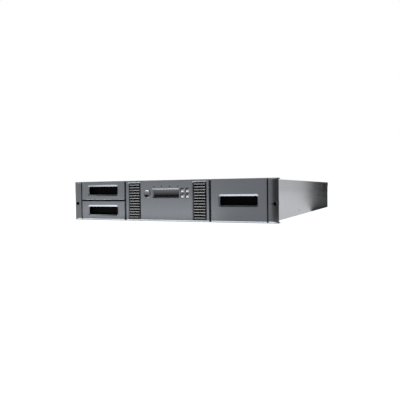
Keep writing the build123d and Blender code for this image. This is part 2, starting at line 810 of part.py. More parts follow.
def front_bezel():
    half = CENTRE_WIDTH / 2
    front = moulded_front((-half, half), full_front_span(), TOP_BEVEL, BOTTOM_BEVEL)
    intake = (GRILLE_WIDTH, GRILLE_HEIGHT)
    for side in (-1, 1):
        front = lipped_opening(front, grille_centre(side), intake, GRILLE_CORNER, GRILLE_LIP)
    front = lipped_opening(front, (0, LCD_Z), (lcd_width, LCD_HEIGHT), LCD_CORNER, LCD_LIP)
    through = (y_face - PAST, y_wall + PAST)
    front -= run_y(disc((power_x, POWER_Z), POWER_DIAMETER / 2 + BUTTON_PLAY), through)
    for spot in key_spots().values():
        hole = KEY_SIZE + 2 * BUTTON_PLAY
        front -= run_y(Pos(*spot) * Rectangle(hole, hole), through)
    for spot in light_spots():
        front -= run_y(disc(spot, LIGHT_DIAMETER / 2 + LIGHT_PLAY), through)
    return front + bosses(board_post_spots(), BOARD_BOSS, y_face + BOARD_DEPTH)


def grille_carriers():
    """Black frame behind each intake, which carries the louvre bars."""
    centre = grille_centre(1)
    size = (GRILLE_WIDTH + 2 * CARRIER_MARGIN, GRILLE_HEIGHT + 2 * CARRIER_MARGIN)
    window = (GRILLE_WIDTH - 2 * CARRIER_POST, GRILLE_HEIGHT - CARRIER_POST)
    outline = Pos(*centre) * Rectangle(*size) - Pos(*centre) * Rectangle(*window)
    return both_sides(run_y(outline, (y_wall, y_wall + CARRIER_DEPTH)))


def louvre_bars(side):
    """Slanted bars, one above the other, whose faces look down a little."""
    x, middle = grille_centre(side)
    pitch = GRILLE_HEIGHT / LOUVRES
    front = y_wall - LOUVRE_DEPTH
    bars = []
    for step in range(LOUVRES):
        low = middle - LOUVRE_HEIGHT / 2 + (step - (LOUVRES - 1) / 2) * pitch
        high = low + LOUVRE_HEIGHT
        outline = polygon((front + LOUVRE_SLANT, low), (y_wall, low), (y_wall, high), (front, high))
        bars.append(run_x(outline, (x - LOUVRE_LENGTH / 2, x + LOUVRE_LENGTH / 2)))
    return bars


def grille_louvres():
    return Compound(louvre_bars(-1) + louvre_bars(1))


def lcd_window():
    size = (lcd_width + 2 * GLASS_MARGIN, LCD_HEIGHT + 2 * GLASS_MARGIN)
    return run_y(Pos(0, LCD_Z) * Rectangle(*size), (y_wall, y_wall + GLASS))


def operator_board():
    """Circuit board with the display module on it."""
    front = y_face + BOARD_DEPTH
    board = Pos(0, BOARD_Z) * Rectangle(board_width, BOARD_HEIGHT)
    module = Pos(0, LCD_Z) * Rectangle(lcd_width + GLASS_MARGIN, LCD_HEIGHT + GLASS_MARGIN)
    return run_y(board, (front, front + BOARD)) + run_y(module, (y_wall + GLASS, front))


def status_lights():
    pipes = []
    for spot in light_spots():
        pipe = run_y(disc(spot, LIGHT_DIAMETER / 2), (y_face, y_face + BOARD_DEPTH))
        pipes.append(chamfer(pipe.edges().group_by(Axis.Y)[0], LIGHT_DIAMETER / 6))
    return Compound(pipes)


def button_back(travel):
    """Rear end of a button, which stops short of its switch by its travel."""
    return y_face + BOARD_DEPTH - SWITCH_GAP - travel


def power_button():
    """Round button with a dished face and a flange that holds it behind the wall."""
    radius = POWER_DIAMETER / 2
    front = -POWER_PROUD
    back = button_back(POWER_TRAVEL) - y_face
    rim = radius - POWER_PROUD
    face = ThreePointArc((0, front + POWER_DISH), (rim / 2, front + 3 * POWER_DISH / 4), (rim, front))
    body = Polyline(
        (rim, front),
        (radius, front + POWER_PROUD),
        (radius, BEZEL_WALL),
        (radius + BUTTON_FLANGE, BEZEL_WALL),
        (radius + BUTTON_FLANGE, BEZEL_WALL + BUTTON_FLANGE_DEPTH),
        (radius / 2, BEZEL_WALL + BUTTON_FLANGE_DEPTH),
        (radius / 2, back),
        (0, back),
        (0, front + POWER_DISH),
    )
    turned = revolve(Plane.XY * make_face(face + body), Axis.Y)
    return Pos(power_x, y_face, POWER_Z) * turned


def key_cap(centre):
    """Square key with a four-sided point and a flange that holds it behind the wall."""
    base = Pos(*centre) * Rectangle(KEY_SIZE, KEY_SIZE)
    tip = Pos(*centre) * Rectangle(KEY_TOP, KEY_TOP)
    shoulder = y_face + KEY_SHOULDER
    across = Plane((0, shoulder, 0), x_dir=(1, 0, 0), z_dir=(0, -1, 0))
    cap = loft([across * base, across.offset(KEY_SHOULDER + KEY_PROUD) * tip])
    cap += run_y(base, (shoulder, y_wall + BUTTON_FLANGE_DEPTH))
    rim = Pos(*centre) * Rectangle(KEY_SIZE + 2 * BUTTON_FLANGE, KEY_SIZE + 2 * BUTTON_FLANGE)
    cap += run_y(rim, (y_wall, y_wall + BUTTON_FLANGE_DEPTH))
    return cap + run_y(disc(centre, KEY_SIZE / 4), (y_wall + BUTTON_FLANGE_DEPTH, button_back(KEY_TRAVEL)))


# Magazines


def lock_strike():
    """Hooked tongue on the rear of a magazine for the lock."""
    x = (magazine_in + magazine_out) / 2
    z = magazine_bottom + SHELF + row_pitch
    tongue = polygon(
        (y_magazine_end, z),
        (y_magazine_end + STRIKE_LENGTH, z),
        (y_magazine_end + STRIKE_LENGTH, z + STRIKE_HEIGHT / 3),
        (y_magazine_end + STRIKE_LENGTH / 2, z + STRIKE_HEIGHT),
        (y_magazine_end + STRIKE_LENGTH / 2, z + STRIKE_HEIGHT / 2),
        (y_magazine_end, z + STRIKE_HEIGHT / 2),
    )
    return run_x(tongue, (x - STRIKE_WIDTH / 2, x + STRIKE_WIDTH / 2))


def magazine_shell(flange_top):
    """Right-hand magazine: floor, outer wall and roof in one, two end plates, front flange."""
    x = (magazine_in, magazine_out)
    outline = rect(x, (magazine_bottom, magazine_top))
    outline -= rect((magazine_in - PAST, wall_in), (first_floor, magazine_top - SHELF))
    shell = run_y(outline, (y_chassis, y_magazine_end))
    shell += block(x, (y_slots - END_PLATE, y_slots), (magazine_bottom, magazine_top))
    shell += block(x, (y_slots_end, y_magazine_end), (magazine_bottom, magazine_top))
    shell += block(x, (y_chassis, y_chassis + FRONT_FLANGE), (magazine_bottom, flange_top))
    return shell + lock_strike()


def right_magazine_shell():
    return magazine_shell(magazine_top)


def mail_end():
    """Where the mail slot's room ends, at the next column of places."""
    return y_slots + slot_width + RIB_THICKNESS


def left_magazine_shell():
    """As on the right, but cut away at the top of the front for the mail slot."""
    shell = magazine_shell(split_bottom - SHELF)
    room = block(
        (magazine_in - PAST, wall_in),
        (y_chassis - PAST, mail_end() + MAIL_PLAY),
        (mail_floor - SHELF - MAIL_SHELF, magazine_top + PAST),
    )
    return mirrored(shell - room)


def slot_shelf(y, z):
    """Shelf with a slanted lead along its open side."""
    shelf = block((magazine_in, wall_in), y, z)
    lead = shelf.edges().filter_by(Axis.Y).group_by(Axis.X)[0]
    return chamfer(lead, (z[1] - z[0]) / 4)


def slot_rib(column, floor):
    """Low rib between two places of a row."""
    y = y_slots + column * column_pitch - RIB_THICKNESS
    rib = block((magazine_in, wall_in), (y, y + RIB_THICKNESS), (floor, floor + RIB_HEIGHT))
    return chamfer(rib.edges().filter_by(Axis.Y).group_by(Axis.X)[0].group_by(Axis.Z)[-1], RIB_HEIGHT / 2)


def magazine_shelves(has_mail_slot):
    pieces = []
    for row in range(ROWS):
        floor = first_floor + row * row_pitch
        under_mail = has_mail_slot and row == ROWS - 1
        start = mail_end() + MAIL_PLAY if under_mail else y_slots
        if row:
            pieces.append(slot_shelf((start, y_slots_end), (floor - SHELF, floor)))
        for column in range(2 if under_mail else 1, COLUMNS):
            pieces.append(slot_rib(column, floor))
    if has_mail_slot:
        top = mail_floor - SHELF
        pieces.append(slot_shelf((y_chassis, mail_end() + MAIL_PLAY), (top - MAIL_SHELF, top)))
    return pieces


def right_magazine_shelves():
    return Compound(magazine_shelves(False))


def left_magazine_shelves():
    return Compound([mirrored(piece) for piece in magazine_shelves(True)])


def mail_slot_tray():
    """Drawer for one cartridge: floor, outer wall, two ends and a front flange."""
    bottom = mail_floor - SHELF + MAIL_PLAY
    top = mail_floor + MAIL_WALL_HEIGHT
    out = wall_in - MAIL_PLAY
    end = mail_end() - MAIL_PLAY
    x = (magazine_in, out)
    tray = block(x, (y_chassis, end), (bottom, mail_floor))
    tray += block((out - MAIL_WALL, out), (y_chassis, end), (bottom, top))
    tray += block(x, (y_slots - MAIL_WALL, y_slots), (bottom, top))
    tray += block(x, (y_slots + slot_width, end), (bottom, top))
    tray += block(x, (y_chassis, y_chassis + FRONT_FLANGE), (bottom, top))
    return mirrored(tray)


# Cartridge robot

flank = tan(radians(FLANK_ANGLE))
tooth_half = pi * MODULE / 4 - BACKLASH / 2
travel_radius = MODULE * TRAVEL_TEETH / 2
turn_distance = MODULE * (turntable_teeth + TURN_TEETH) / 2
pan_z = SHEET + PAN_LIFT
pan_top = pan_z + PAN_SHEET
turntable_z = pan_top + PIVOT_PAD + PIVOT_PLAY
turntable_top = turntable_z + TURNTABLE
wing_z = SHEET + RACK_HEIGHT + WING_GAP
wing_top = wing_z + PAN_SHEET
pan_half = turntable_radius + ADDENDUM + PAN_SIDE_PLAY + PAN_SHEET
wing_half = rail_x + RAIL_WIDTH / 2 + SHOE_PLAY + SHOE_WALL
travel_spot = (rail_x - TRAVEL_MOTOR_INSET, TRAVEL_MOTOR_MARGIN - carriage_half)
turn_spot = (turn_distance * cos(radians(TURN_MOTOR_ANGLE)), turn_distance * sin(radians(TURN_MOTOR_ANGLE)))
picker_z = turntable_top + PICKER_LIFT
cheek_top = cover_under - CHEEK_HEADROOM
lift_motor_bottom = cheek_top - CHEEK_SHEET - LIFT_MOTOR_HEIGHT


def at_robot(shape):
    """Robot pieces are drawn about the turntable's axis and parked at the last column."""
    return Pos(0, y_robot, 0) * shape


def tooth(reach_in, reach_out):
    """One tooth as half widths at its root and at its tip."""
    return tooth_half + reach_in * flank, tooth_half - reach_out * flank


def gear(teeth, phase):
    """Spur gear outline, with a tooth at the phase angle."""
    radius = MODULE * teeth / 2
    root, tip = tooth(DEDENDUM, ADDENDUM)
    points = []
    for step in range(teeth):
        turn = phase + 2 * pi * step / teeth
        corners = (
            (radius - DEDENDUM, -root),
            (radius + ADDENDUM, -tip),
            (radius + ADDENDUM, tip),
            (radius - DEDENDUM, root),
        )
        points += [(r * cos(turn) - s * sin(turn), r * sin(turn) + s * cos(turn)) for r, s in corners]
    return polygon(*points)


def robot_rails():
    y = (y_chassis + SHEET + RAIL_END_GAP, y_drive - RAIL_END_GAP)
    rail = block((rail_x - RAIL_WIDTH / 2, rail_x + RAIL_WIDTH / 2), y, (SHEET, SHEET + RAIL_HEIGHT))
    rail = chamfer(rail.edges().filter_by(Axis.Y).group_by(Axis.Z)[-1], RAIL_WIDTH / 10)
    return both_sides(rail)


def travel_rack():
    """Toothed bar on the floor. One tooth stands level with the parked pinion's axis."""
    pitch = pi * MODULE
    line = travel_spot[0] + travel_radius
    start = y_chassis + SHEET + RAIL_END_GAP
    end = y_drive - RAIL_END_GAP
    level = y_robot + travel_spot[1]
    root, tip = tooth(DEDENDUM, ADDENDUM)
    points = []
    for step in range(-int((level - start) / pitch - 1), int((end - level) / pitch)):
        y = level + step * pitch
        points += [
            (line + DEDENDUM, y - root),
            (line - ADDENDUM, y - tip),
            (line - ADDENDUM, y + tip),
            (line + DEDENDUM, y + root),
        ]
    valley = line + DEDENDUM
    back = valley + RACK_BACK
    outline = polygon((back, start), (valley, start), *points, (valley, end), (back, end))
    return run_z(outline, (SHEET, SHEET + RACK_HEIGHT))


def carriage_pan():
    """Hat-shaped pan between the rails, with a shelf for each motor and the turntable's pivot."""
    length = (-carriage_half, carriage_half)
    inner = pan_half - PAN_SHEET
    outline = rect((-wing_half, wing_half), (wing_z, wing_top))
    outline += rect((-pan_half, pan_half), (pan_z, wing_top))
    outline -= rect((-inner, inner), (pan_top, 2 * wing_top))
    pan = run_y(outline, length)
    tip = travel_radius + ADDENDUM + MOTOR_SHELF_MARGIN
    well_x = (travel_spot[0] - tip, travel_spot[0] + tip)
    well_y = (length[0] - PAST, travel_spot[1] + tip)
    pan -= block(well_x, well_y, (0, wing_z))
    pan += block((well_x[0], wing_half), (length[0], well_y[1]), (wing_z, wing_top))
    sweep = MODULE * TURN_TEETH / 2 + ADDENDUM + MOTOR_SHELF_MARGIN
    reach = MOTOR_DIAMETER / 2 + MOTOR_SHELF_MARGIN
    pan -= run_z(disc(turn_spot, sweep), (pan_top, wing_z))
    pan += block((-wing_half, turn_spot[0] + reach), (turn_spot[1] - reach, length[1]), (wing_z, wing_top))
    pan += run_z(disc((0, 0), PIVOT_PAD_RADIUS), (pan_top, pan_top + PIVOT_PAD))
    pan += run_z(disc((0, 0), PIVOT_RADIUS), (pan_top, turntable_top))
    for spot in (travel_spot, turn_spot):
        pan -= run_z(disc(spot, MOTOR_SHAFT / 2 + LIFT_PLAY), (wing_z - PAST, wing_top + PAST))
    return at_robot(pan)


def carriage_shoes():
    """Nylon shoe under each corner of the carriage, astride its rail."""
    half = RAIL_WIDTH / 2 + SHOE_PLAY
    roof = SHEET + RAIL_HEIGHT + SHOE_PLAY
    outline = rect((rail_x - half - SHOE_WALL, rail_x + half + SHOE_WALL), (pan_z, wing_z))
    outline -= rect((rail_x - half, rail_x + half), (0, roof))
    ends = ((-carriage_half, SHOE_LENGTH - carriage_half), (carriage_half - SHOE_LENGTH, carriage_half))
    shoes = [at_robot(run_y(outline, y)) for y in ends]
    return Compound(shoes + [mirrored(shoe) for shoe in shoes])


def robot_motors():
    """Travel motor and turning motor, alike, each with a bore for its pinion's shaft."""
    motors = []
    for spot in (travel_spot, turn_spot):
        motor = run_z(disc(spot, MOTOR_DIAMETER / 2), (wing_top, wing_top + MOTOR_HEIGHT))
        motor = chamfer(motor.edges().group_by(Axis.Z)[-1], PAN_SHEET)
        motor -= run_z(disc(spot, MOTOR_SHAFT / 2 + SHAFT_PLAY), (wing_top, wing_top + SHAFT_ENGAGE))
        motors.append(at_robot(motor))
    return Compound(motors)


def shafted_gear(teeth, phase, spot, z):
    wheel = run_z(Pos(*spot) * gear(teeth, phase), z)
    wheel += run_z(disc(spot, MOTOR_SHAFT / 2), (z[0], wing_top + SHAFT_ENGAGE - SHAFT_PLAY))
    return at_robot(wheel)


def travel_pinion():
    """Its gap, half a tooth on, faces the rack's level tooth."""
    return shafted_gear(TRAVEL_TEETH, pi / TRAVEL_TEETH, travel_spot, (pan_z, SHEET + RACK_HEIGHT))


def turn_pinion():
    inward = radians(TURN_MOTOR_ANGLE) + pi
    return shafted_gear(TURN_TEETH, inward + pi / TURN_TEETH, turn_spot, (turntable_z, turntable_top))


def turntable():
    """Toothed disc that turns on the pan's pivot, with a tooth towards its pinion."""
    wheel = run_z(gear(turntable_teeth, radians(TURN_MOTOR_ANGLE)), (turntable_z, turntable_top))
    wheel -= run_z(disc((0, 0), PIVOT_RADIUS + PIVOT_PLAY), (turntable_z - PAST, turntable_top + PAST))
    return at_robot(wheel)


def lift_rod_spots():
    return [(x, y) for x in (-lift_rod_x, lift_rod_x) for y in (-LIFT_ROD_Y, LIFT_ROD_Y)]


def lift_frame():
    """A folded cheek on each side of the turntable, with two guide rods under its flange."""
    y = (-CHEEK_WIDTH / 2, CHEEK_WIDTH / 2)
    out = cheek_x + CHEEK_SHEET
    outline = rect((cheek_x, out), (turntable_top, cheek_top))
    outline += rect((lift_rod_x - LIFT_ROD, out), (cheek_top - CHEEK_SHEET, cheek_top))
    cheek = run_y(outline, y)
    pieces = [at_robot(cheek), at_robot(mirrored(cheek))]
    for spot in lift_rod_spots():
        pieces.append(at_robot(run_z(disc(spot, LIFT_ROD / 2), (turntable_top, cheek_top - CHEEK_SHEET))))
    return Compound(pieces)


def lift_motor():
    spot = (lift_screw_x, 0)
    motor = run_z(disc(spot, LIFT_MOTOR_DIAMETER / 2), (lift_motor_bottom, cheek_top - CHEEK_SHEET))
    bore_z = (lift_motor_bottom, lift_motor_bottom + SHAFT_ENGAGE)
    return at_robot(motor - run_z(disc(spot, LIFT_SCREW / 2 + SHAFT_PLAY), bore_z))


def lift_screw():
    spot = (lift_screw_x, 0)
    z = (turntable_top + SHOE_PLAY, lift_motor_bottom + SHAFT_ENGAGE - SHAFT_PLAY)
    return at_robot(run_z(disc(spot, LIFT_SCREW / 2), z))


def picker_tray():
    """Tray for one cartridge with a lug on each side that rides on the rods, and the lift nut."""
    y = (-PICKER_LENGTH / 2, PICKER_LENGTH / 2)
    inner = picker_half - PICKER_WALL
    wall_top = picker_z + PICKER_FLOOR + slot_height
    outline = rect((-picker_half, picker_half), (picker_z, wall_top))
    outline -= rect((-inner, inner), (picker_z + PICKER_FLOOR, 2 * wall_top))
    tray = run_y(outline, y)
    lug_z = (picker_z, picker_z + LUG_HEIGHT)
    lug_out = lift_rod_x + LIFT_ROD / 2 + LUG_WALL
    lug_half = LIFT_ROD_Y + LIFT_ROD / 2 + LUG_WALL
    lug = rect((picker_half - PICKER_WALL / 2, lug_out), (-lug_half, lug_half))
    tray += run_z(lug, lug_z) + mirrored(run_z(lug, lug_z))
    nut = LIFT_SCREW / 2 + LUG_WALL
    tray += run_z(disc((lift_screw_x, 0), nut), lug_z)
    through = (picker_z - PAST, lug_z[1] + PAST)
    for spot in lift_rod_spots():
        tray -= run_z(disc(spot, LIFT_ROD / 2 + LIFT_PLAY), through)
    return at_robot(tray - run_z(disc((lift_screw_x, 0), LIFT_SCREW / 2 + LIFT_PLAY), through))


def gripper():
    """Block that slides on the tray's floor, with a hooked prong along each side."""
    out = picker_half - PICKER_WALL - PRONG_PLAY
    z = picker_z + PICKER_FLOOR + PRONG_PLAY
    back = -PICKER_LENGTH / 2 + PRONG_PLAY
    outline = rect((-out, out), (back, GRIPPER_TIP))
    inner = out - PRONG
    outline -= rect((-inner, inner), (back + GRIPPER_BLOCK, 2 * GRIPPER_TIP))
    hook = polygon(
        (inner, GRIPPER_TIP),
        (inner - PRONG_HOOK, GRIPPER_TIP - PRONG_HOOK),
        (inner, GRIPPER_TIP - 3 * PRONG_HOOK),
    )
    outline += hook + mirror(hook, about=Plane.YZ)
    middle = z + GRIPPER_HEIGHT / 2
    jaw = run_z(outline, (middle - PRONG_HEIGHT / 2, middle + PRONG_HEIGHT / 2))
    return at_robot(jaw + block((-inner, inner), (back, back + GRIPPER_BLOCK), (z, z + GRIPPER_HEIGHT)))


# Drive sleds


def thumb_x():
    return bay_half + SLED_PLATE_MARGIN - THUMB_INSET


def thumb_z(level):
    return level + SLED_SHEET + DRIVE_HEIGHT / 2


def sled_fan_spot(level):
    return SLED_FAN_X, level + SLED_SHEET + DRIVE_HEIGHT / 2


def sled_plate_span(level):
    """Height of a sled's rear plate, a gap short of its neighbour."""
    lower, upper = drive_levels()
    step = (upper - lower) / 2
    middle = level + SLED_SHEET + DRIVE_HEIGHT / 2
    return middle - step + SLED_PLATE_GAP, middle + step - SLED_PLATE_GAP


def data_port_spots(level):
    offsets = [(step - (DATA_PORTS - 1) / 2) * DATA_PORT_PITCH for step in range(DATA_PORTS)]
    return [(DATA_PORT_X + offset, level + DATA_PORT_RAISE) for offset in offsets]


def drive_sled(level):
    """Folded sled: a floor under the drive and a rear plate with fan guard and connector cuts."""
    half = DRIVE_WIDTH / 2
    sled = block((-half, half), (y_drive + BAY_PLAY, y_back), (level, level + SLED_SHEET))
    plate_half = bay_half + SLED_PLATE_MARGIN
    y = (y_back, y_back + SLED_PLATE)
    plate = block((-plate_half, plate_half), y, sled_plate_span(level))
    cuts = ring_guard(sled_fan_spot(level), SLED_FAN_RADIUS, SLED_FAN_HUB)
    for spot in data_port_spots(level):
        cuts += Pos(*spot) * Rectangle(DATA_PORT_WIDTH, DATA_PORT_HEIGHT)
    for side in (-1, 1):
        cuts += disc((side * thumb_x(), thumb_z(level)), THUMB_SHANK / 2 + THUMB_PLAY)
    return sled + (plate - run_y(cuts, (y[0] - PAST, y[1] + PAST)))


def drive_unit(level):
    """Tape drive: a mouth towards the robot, and a fan post and two connectors at the rear."""
    bottom = level + SLED_SHEET
    y = (y_drive, y_drive + DRIVE_LENGTH)
    body = block((-DRIVE_WIDTH / 2, DRIVE_WIDTH / 2), y, (bottom, bottom + DRIVE_HEIGHT))
    body = chamfer(body.edges().filter_by(Axis.Y), DRIVE_EDGE)
    half = CARTRIDGE_WIDTH / 2 + MOUTH_SIDE_PLAY
    mouth = (bottom + MOUTH_RAISE, bottom + MOUTH_RAISE + MOUTH_HEIGHT)
    body -= block((-half, half), (y[0] - PAST, y[0] + MOUTH_DEPTH), mouth)
    lips = body.edges().filter_by(Axis.X).filter_by_position(Axis.Y, y[0] - NEAR, y[0] + NEAR)
    body = chamfer(lips.filter_by_position(Axis.Z, mouth[0] - NEAR, mouth[1] + NEAR), MOUTH_LEAD)
    post_end = y_back - FAN_GAP - FAN_DEPTH / 4
    body += run_y(disc(sled_fan_spot(level), FAN_POST), (y[1], post_end))
    end = y_back + SLED_PLATE
    for spot in data_port_spots(level):
        size = (DATA_PORT_WIDTH - 2 * DATA_PORT_PLAY, DATA_PORT_HEIGHT - 2 * DATA_PORT_PLAY)
        recess = (size[0] - 2 * DATA_PORT_WALL, size[1] - 2 * DATA_PORT_WALL)
        body += run_y(Pos(*spot) * Rectangle(*size), (y[1], end))
        body -= run_y(Pos(*spot) * Rectangle(*recess), (end - DATA_PORT_RECESS, end + PAST))
    return body


def fan_rotor(centre, radius, hub, depth, end):
    """Hub with twisted blades, bored for its post."""
    middle = end - depth / 2
    tip = radius - FAN_TIP_PLAY
    blades = Part()
    for step in range(FAN_BLADES):
        vane = Pos((hub + tip) / 2, 0, 0) * Rot(FAN_PITCH, 0, 0) * Box(tip, 2 * depth, FAN_BLADE)
        blades += Rot(0, 360 * step / FAN_BLADES, 0) * vane
    blades = Pos(centre[0], middle, centre[1]) * blades
    swept = run_y(disc(centre, tip), (end - depth, end))
    rotor = run_y(disc(centre, hub), (end - depth, end)) + blades.intersect(swept)
    bore_y = (end - depth - PAST, end - depth / 4 + FAN_POST_PLAY)
    return rotor - run_y(disc(centre, FAN_POST + FAN_POST_PLAY), bore_y)


def drive_fan(level):
    return fan_rotor(sled_fan_spot(level), SLED_FAN_RADIUS, SLED_FAN_HUB, FAN_DEPTH, y_back - FAN_GAP)


def drive_handle(level):
    """Bent pull on the sled's rear plate."""
    start = y_back + SLED_PLATE
    x = (HANDLE_X - HANDLE_WIDTH / 2, HANDLE_X + HANDLE_WIDTH / 2)
    outline = rect(x, (start, start + HANDLE_REACH))
    z = (level + HANDLE_RAISE, level + HANDLE_RAISE + HANDLE_HEIGHT)
    bow = run_z(outline, z)
    bow = fillet(bow.edges().filter_by(Axis.Z).group_by(Axis.Y)[-1], HANDLE_CORNER)
    gap_x = (x[0] + HANDLE_BAR, x[1] - HANDLE_BAR)
    gap_y = (start - PAST, start + HANDLE_REACH - HANDLE_BAR)
    return bow - block(gap_x, gap_y, z)


def drive_thumbscrews(level):
    """Captive screw at each end of the sled's rear plate."""
    pieces = []
    for side in (-1, 1):
        spot = (side * thumb_x(), thumb_z(level))
        start = y_back + SLED_PLATE
        head = run_y(disc(spot, THUMB_HEAD / 2), (start, start + THUMB_LENGTH))
        head = chamfer(head.edges().group_by(Axis.Y)[-1], THUMB_HEAD / 10)
        pieces.append(head + run_y(disc(spot, THUMB_SHANK / 2), (y_back - THUMB_REACH, start)))
    return Compound(pieces)


# Power supply and controller


def inlet_body(margin):
    half_x = INLET_WIDTH / 2 + margin
    half_z = INLET_HEIGHT / 2 + margin
    return (inlet_x - half_x, inlet_x + half_x), (INLET_Z - half_z, INLET_Z + half_z)


def power_supply():
    """Closed case on the floor, with a well for its fan and one for the inlet."""
    y = (y_drive, y_back - SHEET)
    case = block((supply_in, supply_out), y, (SHEET, SHEET + SUPPLY_HEIGHT))
    case = chamfer(case.edges().filter_by(Axis.Y).group_by(Axis.Z)[-1], SUPPLY_EDGE)
    spot = (supply_fan_x, SUPPLY_FAN_Z)
    well = y[1] - SUPPLY_FAN_DEPTH - FAN_GAP
    case -= run_y(disc(spot, SUPPLY_FAN_RADIUS), (well, y[1] + PAST))
    case += run_y(disc(spot, FAN_POST), (well, y[1] - FAN_GAP - SUPPLY_FAN_DEPTH / 4))
    inlet_y = (y_back - INLET_BODY_DEPTH - INLET_PLAY, y[1] + PAST)
    return case - run_y(rect(*inlet_body(INLET_PLAY)), inlet_y)


def power_supply_fan():
    spot = (supply_fan_x, SUPPLY_FAN_Z)
    end = y_back - SHEET - FAN_GAP
    return fan_rotor(spot, SUPPLY_FAN_RADIUS, SUPPLY_FAN_HUB, SUPPLY_FAN_DEPTH - FAN_GAP, end)


def power_inlet():
    """Mains inlet: a flange on the panel, a socket with two cut corners and three pins."""
    (x0, x1), (z0, z1) = inlet_body(0)
    body = run_y(rect((x0, x1), (z0, z1)), (y_back - INLET_BODY_DEPTH, y_back))
    flange = (INLET_WIDTH + 2 * INLET_FLANGE, INLET_HEIGHT + 2 * INLET_FLANGE)
    body += run_y(rounded((inlet_x, INLET_Z), flange, INLET_FLANGE), (y_back, y_back + INLET_FLANGE_DEPTH))
    socket = rect((x0 + INLET_WALL, x1 - INLET_WALL), (z0 + INLET_WALL, z1 - INLET_WALL))
    socket = chamfer(socket.vertices().group_by(Axis.Y)[-1], INLET_CHAMFER)
    mouth = y_back + INLET_FLANGE_DEPTH
    body -= run_y(socket, (mouth - INLET_CAVITY, mouth + PAST))
    for step in (-1, 0, 1):
        x = inlet_x + step * INLET_PIN_PITCH
        z = INLET_Z - INLET_PIN_OFFSET / 2 + (0 if step else INLET_PIN_OFFSET)
        pin = Pos(x, z) * Rectangle(INLET_PIN_WIDTH, INLET_PIN_HEIGHT)
        body += run_y(pin, (mouth - INLET_CAVITY, mouth - INLET_CAVITY + INLET_PIN_LENGTH))
    return body


def port_floor():
    return SHEET + CONTROLLER_LIFT + BOARD


def port_frames():
    """Centre and size of each port where it comes through the rear panel."""
    ports = (
        (NETWORK_OFFSET, NETWORK_WIDTH, NETWORK_HEIGHT),
        (USB_OFFSET, USB_WIDTH, USB_HEIGHT),
        (SERIAL_OFFSET, SERIAL_WIDTH, SERIAL_HEIGHT),
    )
    floor = port_floor()
    return [((controller_x + step, floor + height / 2), (width, height)) for step, width, height in ports]


def controller_board():
    """Circuit board on four posts."""
    end = y_back - SHEET - PORT_PLAY
    x = (controller_x - CONTROLLER_WIDTH / 2, controller_x + CONTROLLER_WIDTH / 2)
    y = (end - CONTROLLER_LENGTH, end)
    board = block(x, y, (port_floor() - BOARD, port_floor()))
    for px in (x[0] + STANDOFF_INSET, x[1] - STANDOFF_INSET):
        for py in (y[0] + STANDOFF_INSET, y[1] - STANDOFF_INSET):
            board += run_z(disc((px, py), STANDOFF_RADIUS), (SHEET, port_floor() - BOARD))
    return board


def controller_ports():
    """Network and serial-bus sockets, open to the rear, and a serial plug with its shell."""
    pieces = []
    frames = port_frames()
    for centre, size in frames[:2]:
        jack = run_y(Pos(*centre) * Rectangle(*size), (y_back - PORT_DEPTH, y_back))
        hole = Pos(*centre) * Rectangle(size[0] - 2 * PORT_WALL, size[1] - 2 * PORT_WALL)
        pieces.append(jack - run_y(hole, (y_back - PORT_CAVITY, y_back + PAST)))
    centre, size = frames[2]
    plug = run_y(Pos(*centre) * Rectangle(*size), (y_back - PORT_DEPTH, y_back))
    narrow = size[0] - 2 * SERIAL_SHELL_MARGIN
    tall = size[1] - SERIAL_SHELL_MARGIN / 2
    shell = Pos(*centre) * Trapezoid(narrow, tall, SERIAL_SLANT, align=(Align.CENTER, Align.CENTER))
    pieces.append(plug + run_y(shell, (y_back, y_back + SERIAL_PROUD)))
    return Compound(pieces)


def all_nodes():
    makers = (
        chassis_tray, top_cover, rear_panel, front_support_plate, drive_bay_frame, magazine_runners,
        case_screws, rack_ears, ear_covers, front_bezel, grille_carriers, grille_louvres, lcd_window,
        operator_board, status_lights, power_button, left_magazine_front, left_handle_pocket,
        left_magazine_shell, left_magazine_shelves, mail_slot_front, mail_slot_pocket, mail_slot_tray,
        right_magazine_front, right_handle_pocket, right_magazine_shell, right_magazine_shelves,
        robot_rails, travel_rack, carriage_pan, carriage_shoes, robot_motors, travel_pinion, turn_pinion,
        turntable, lift_frame, lift_motor, lift_screw, picker_tray, gripper, power_supply,
        power_supply_fan, power_inlet, controller_board, controller_ports,
    )
    nodes = {maker.__name__: maker() for maker in makers}
    for name, spot in key_spots().items():
        nodes[name] = key_cap(spot)
    for place, level in zip(("lower", "upper"), drive_levels()):
        for maker in (drive_sled, drive_unit, drive_handle, drive_fan, drive_thumbscrews):
            nodes[f"{place}_{maker.__name__}"] = maker(level)
    return nodes


os.makedirs("parts", exist_ok=True)
for name, shape in all_nodes().items():
    export_step(shape, f"parts/{name}.step")
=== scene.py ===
import json
from math import cos, pi, radians, sin, tau

import bmesh
import bpy
from mathutils import Matrix, Vector


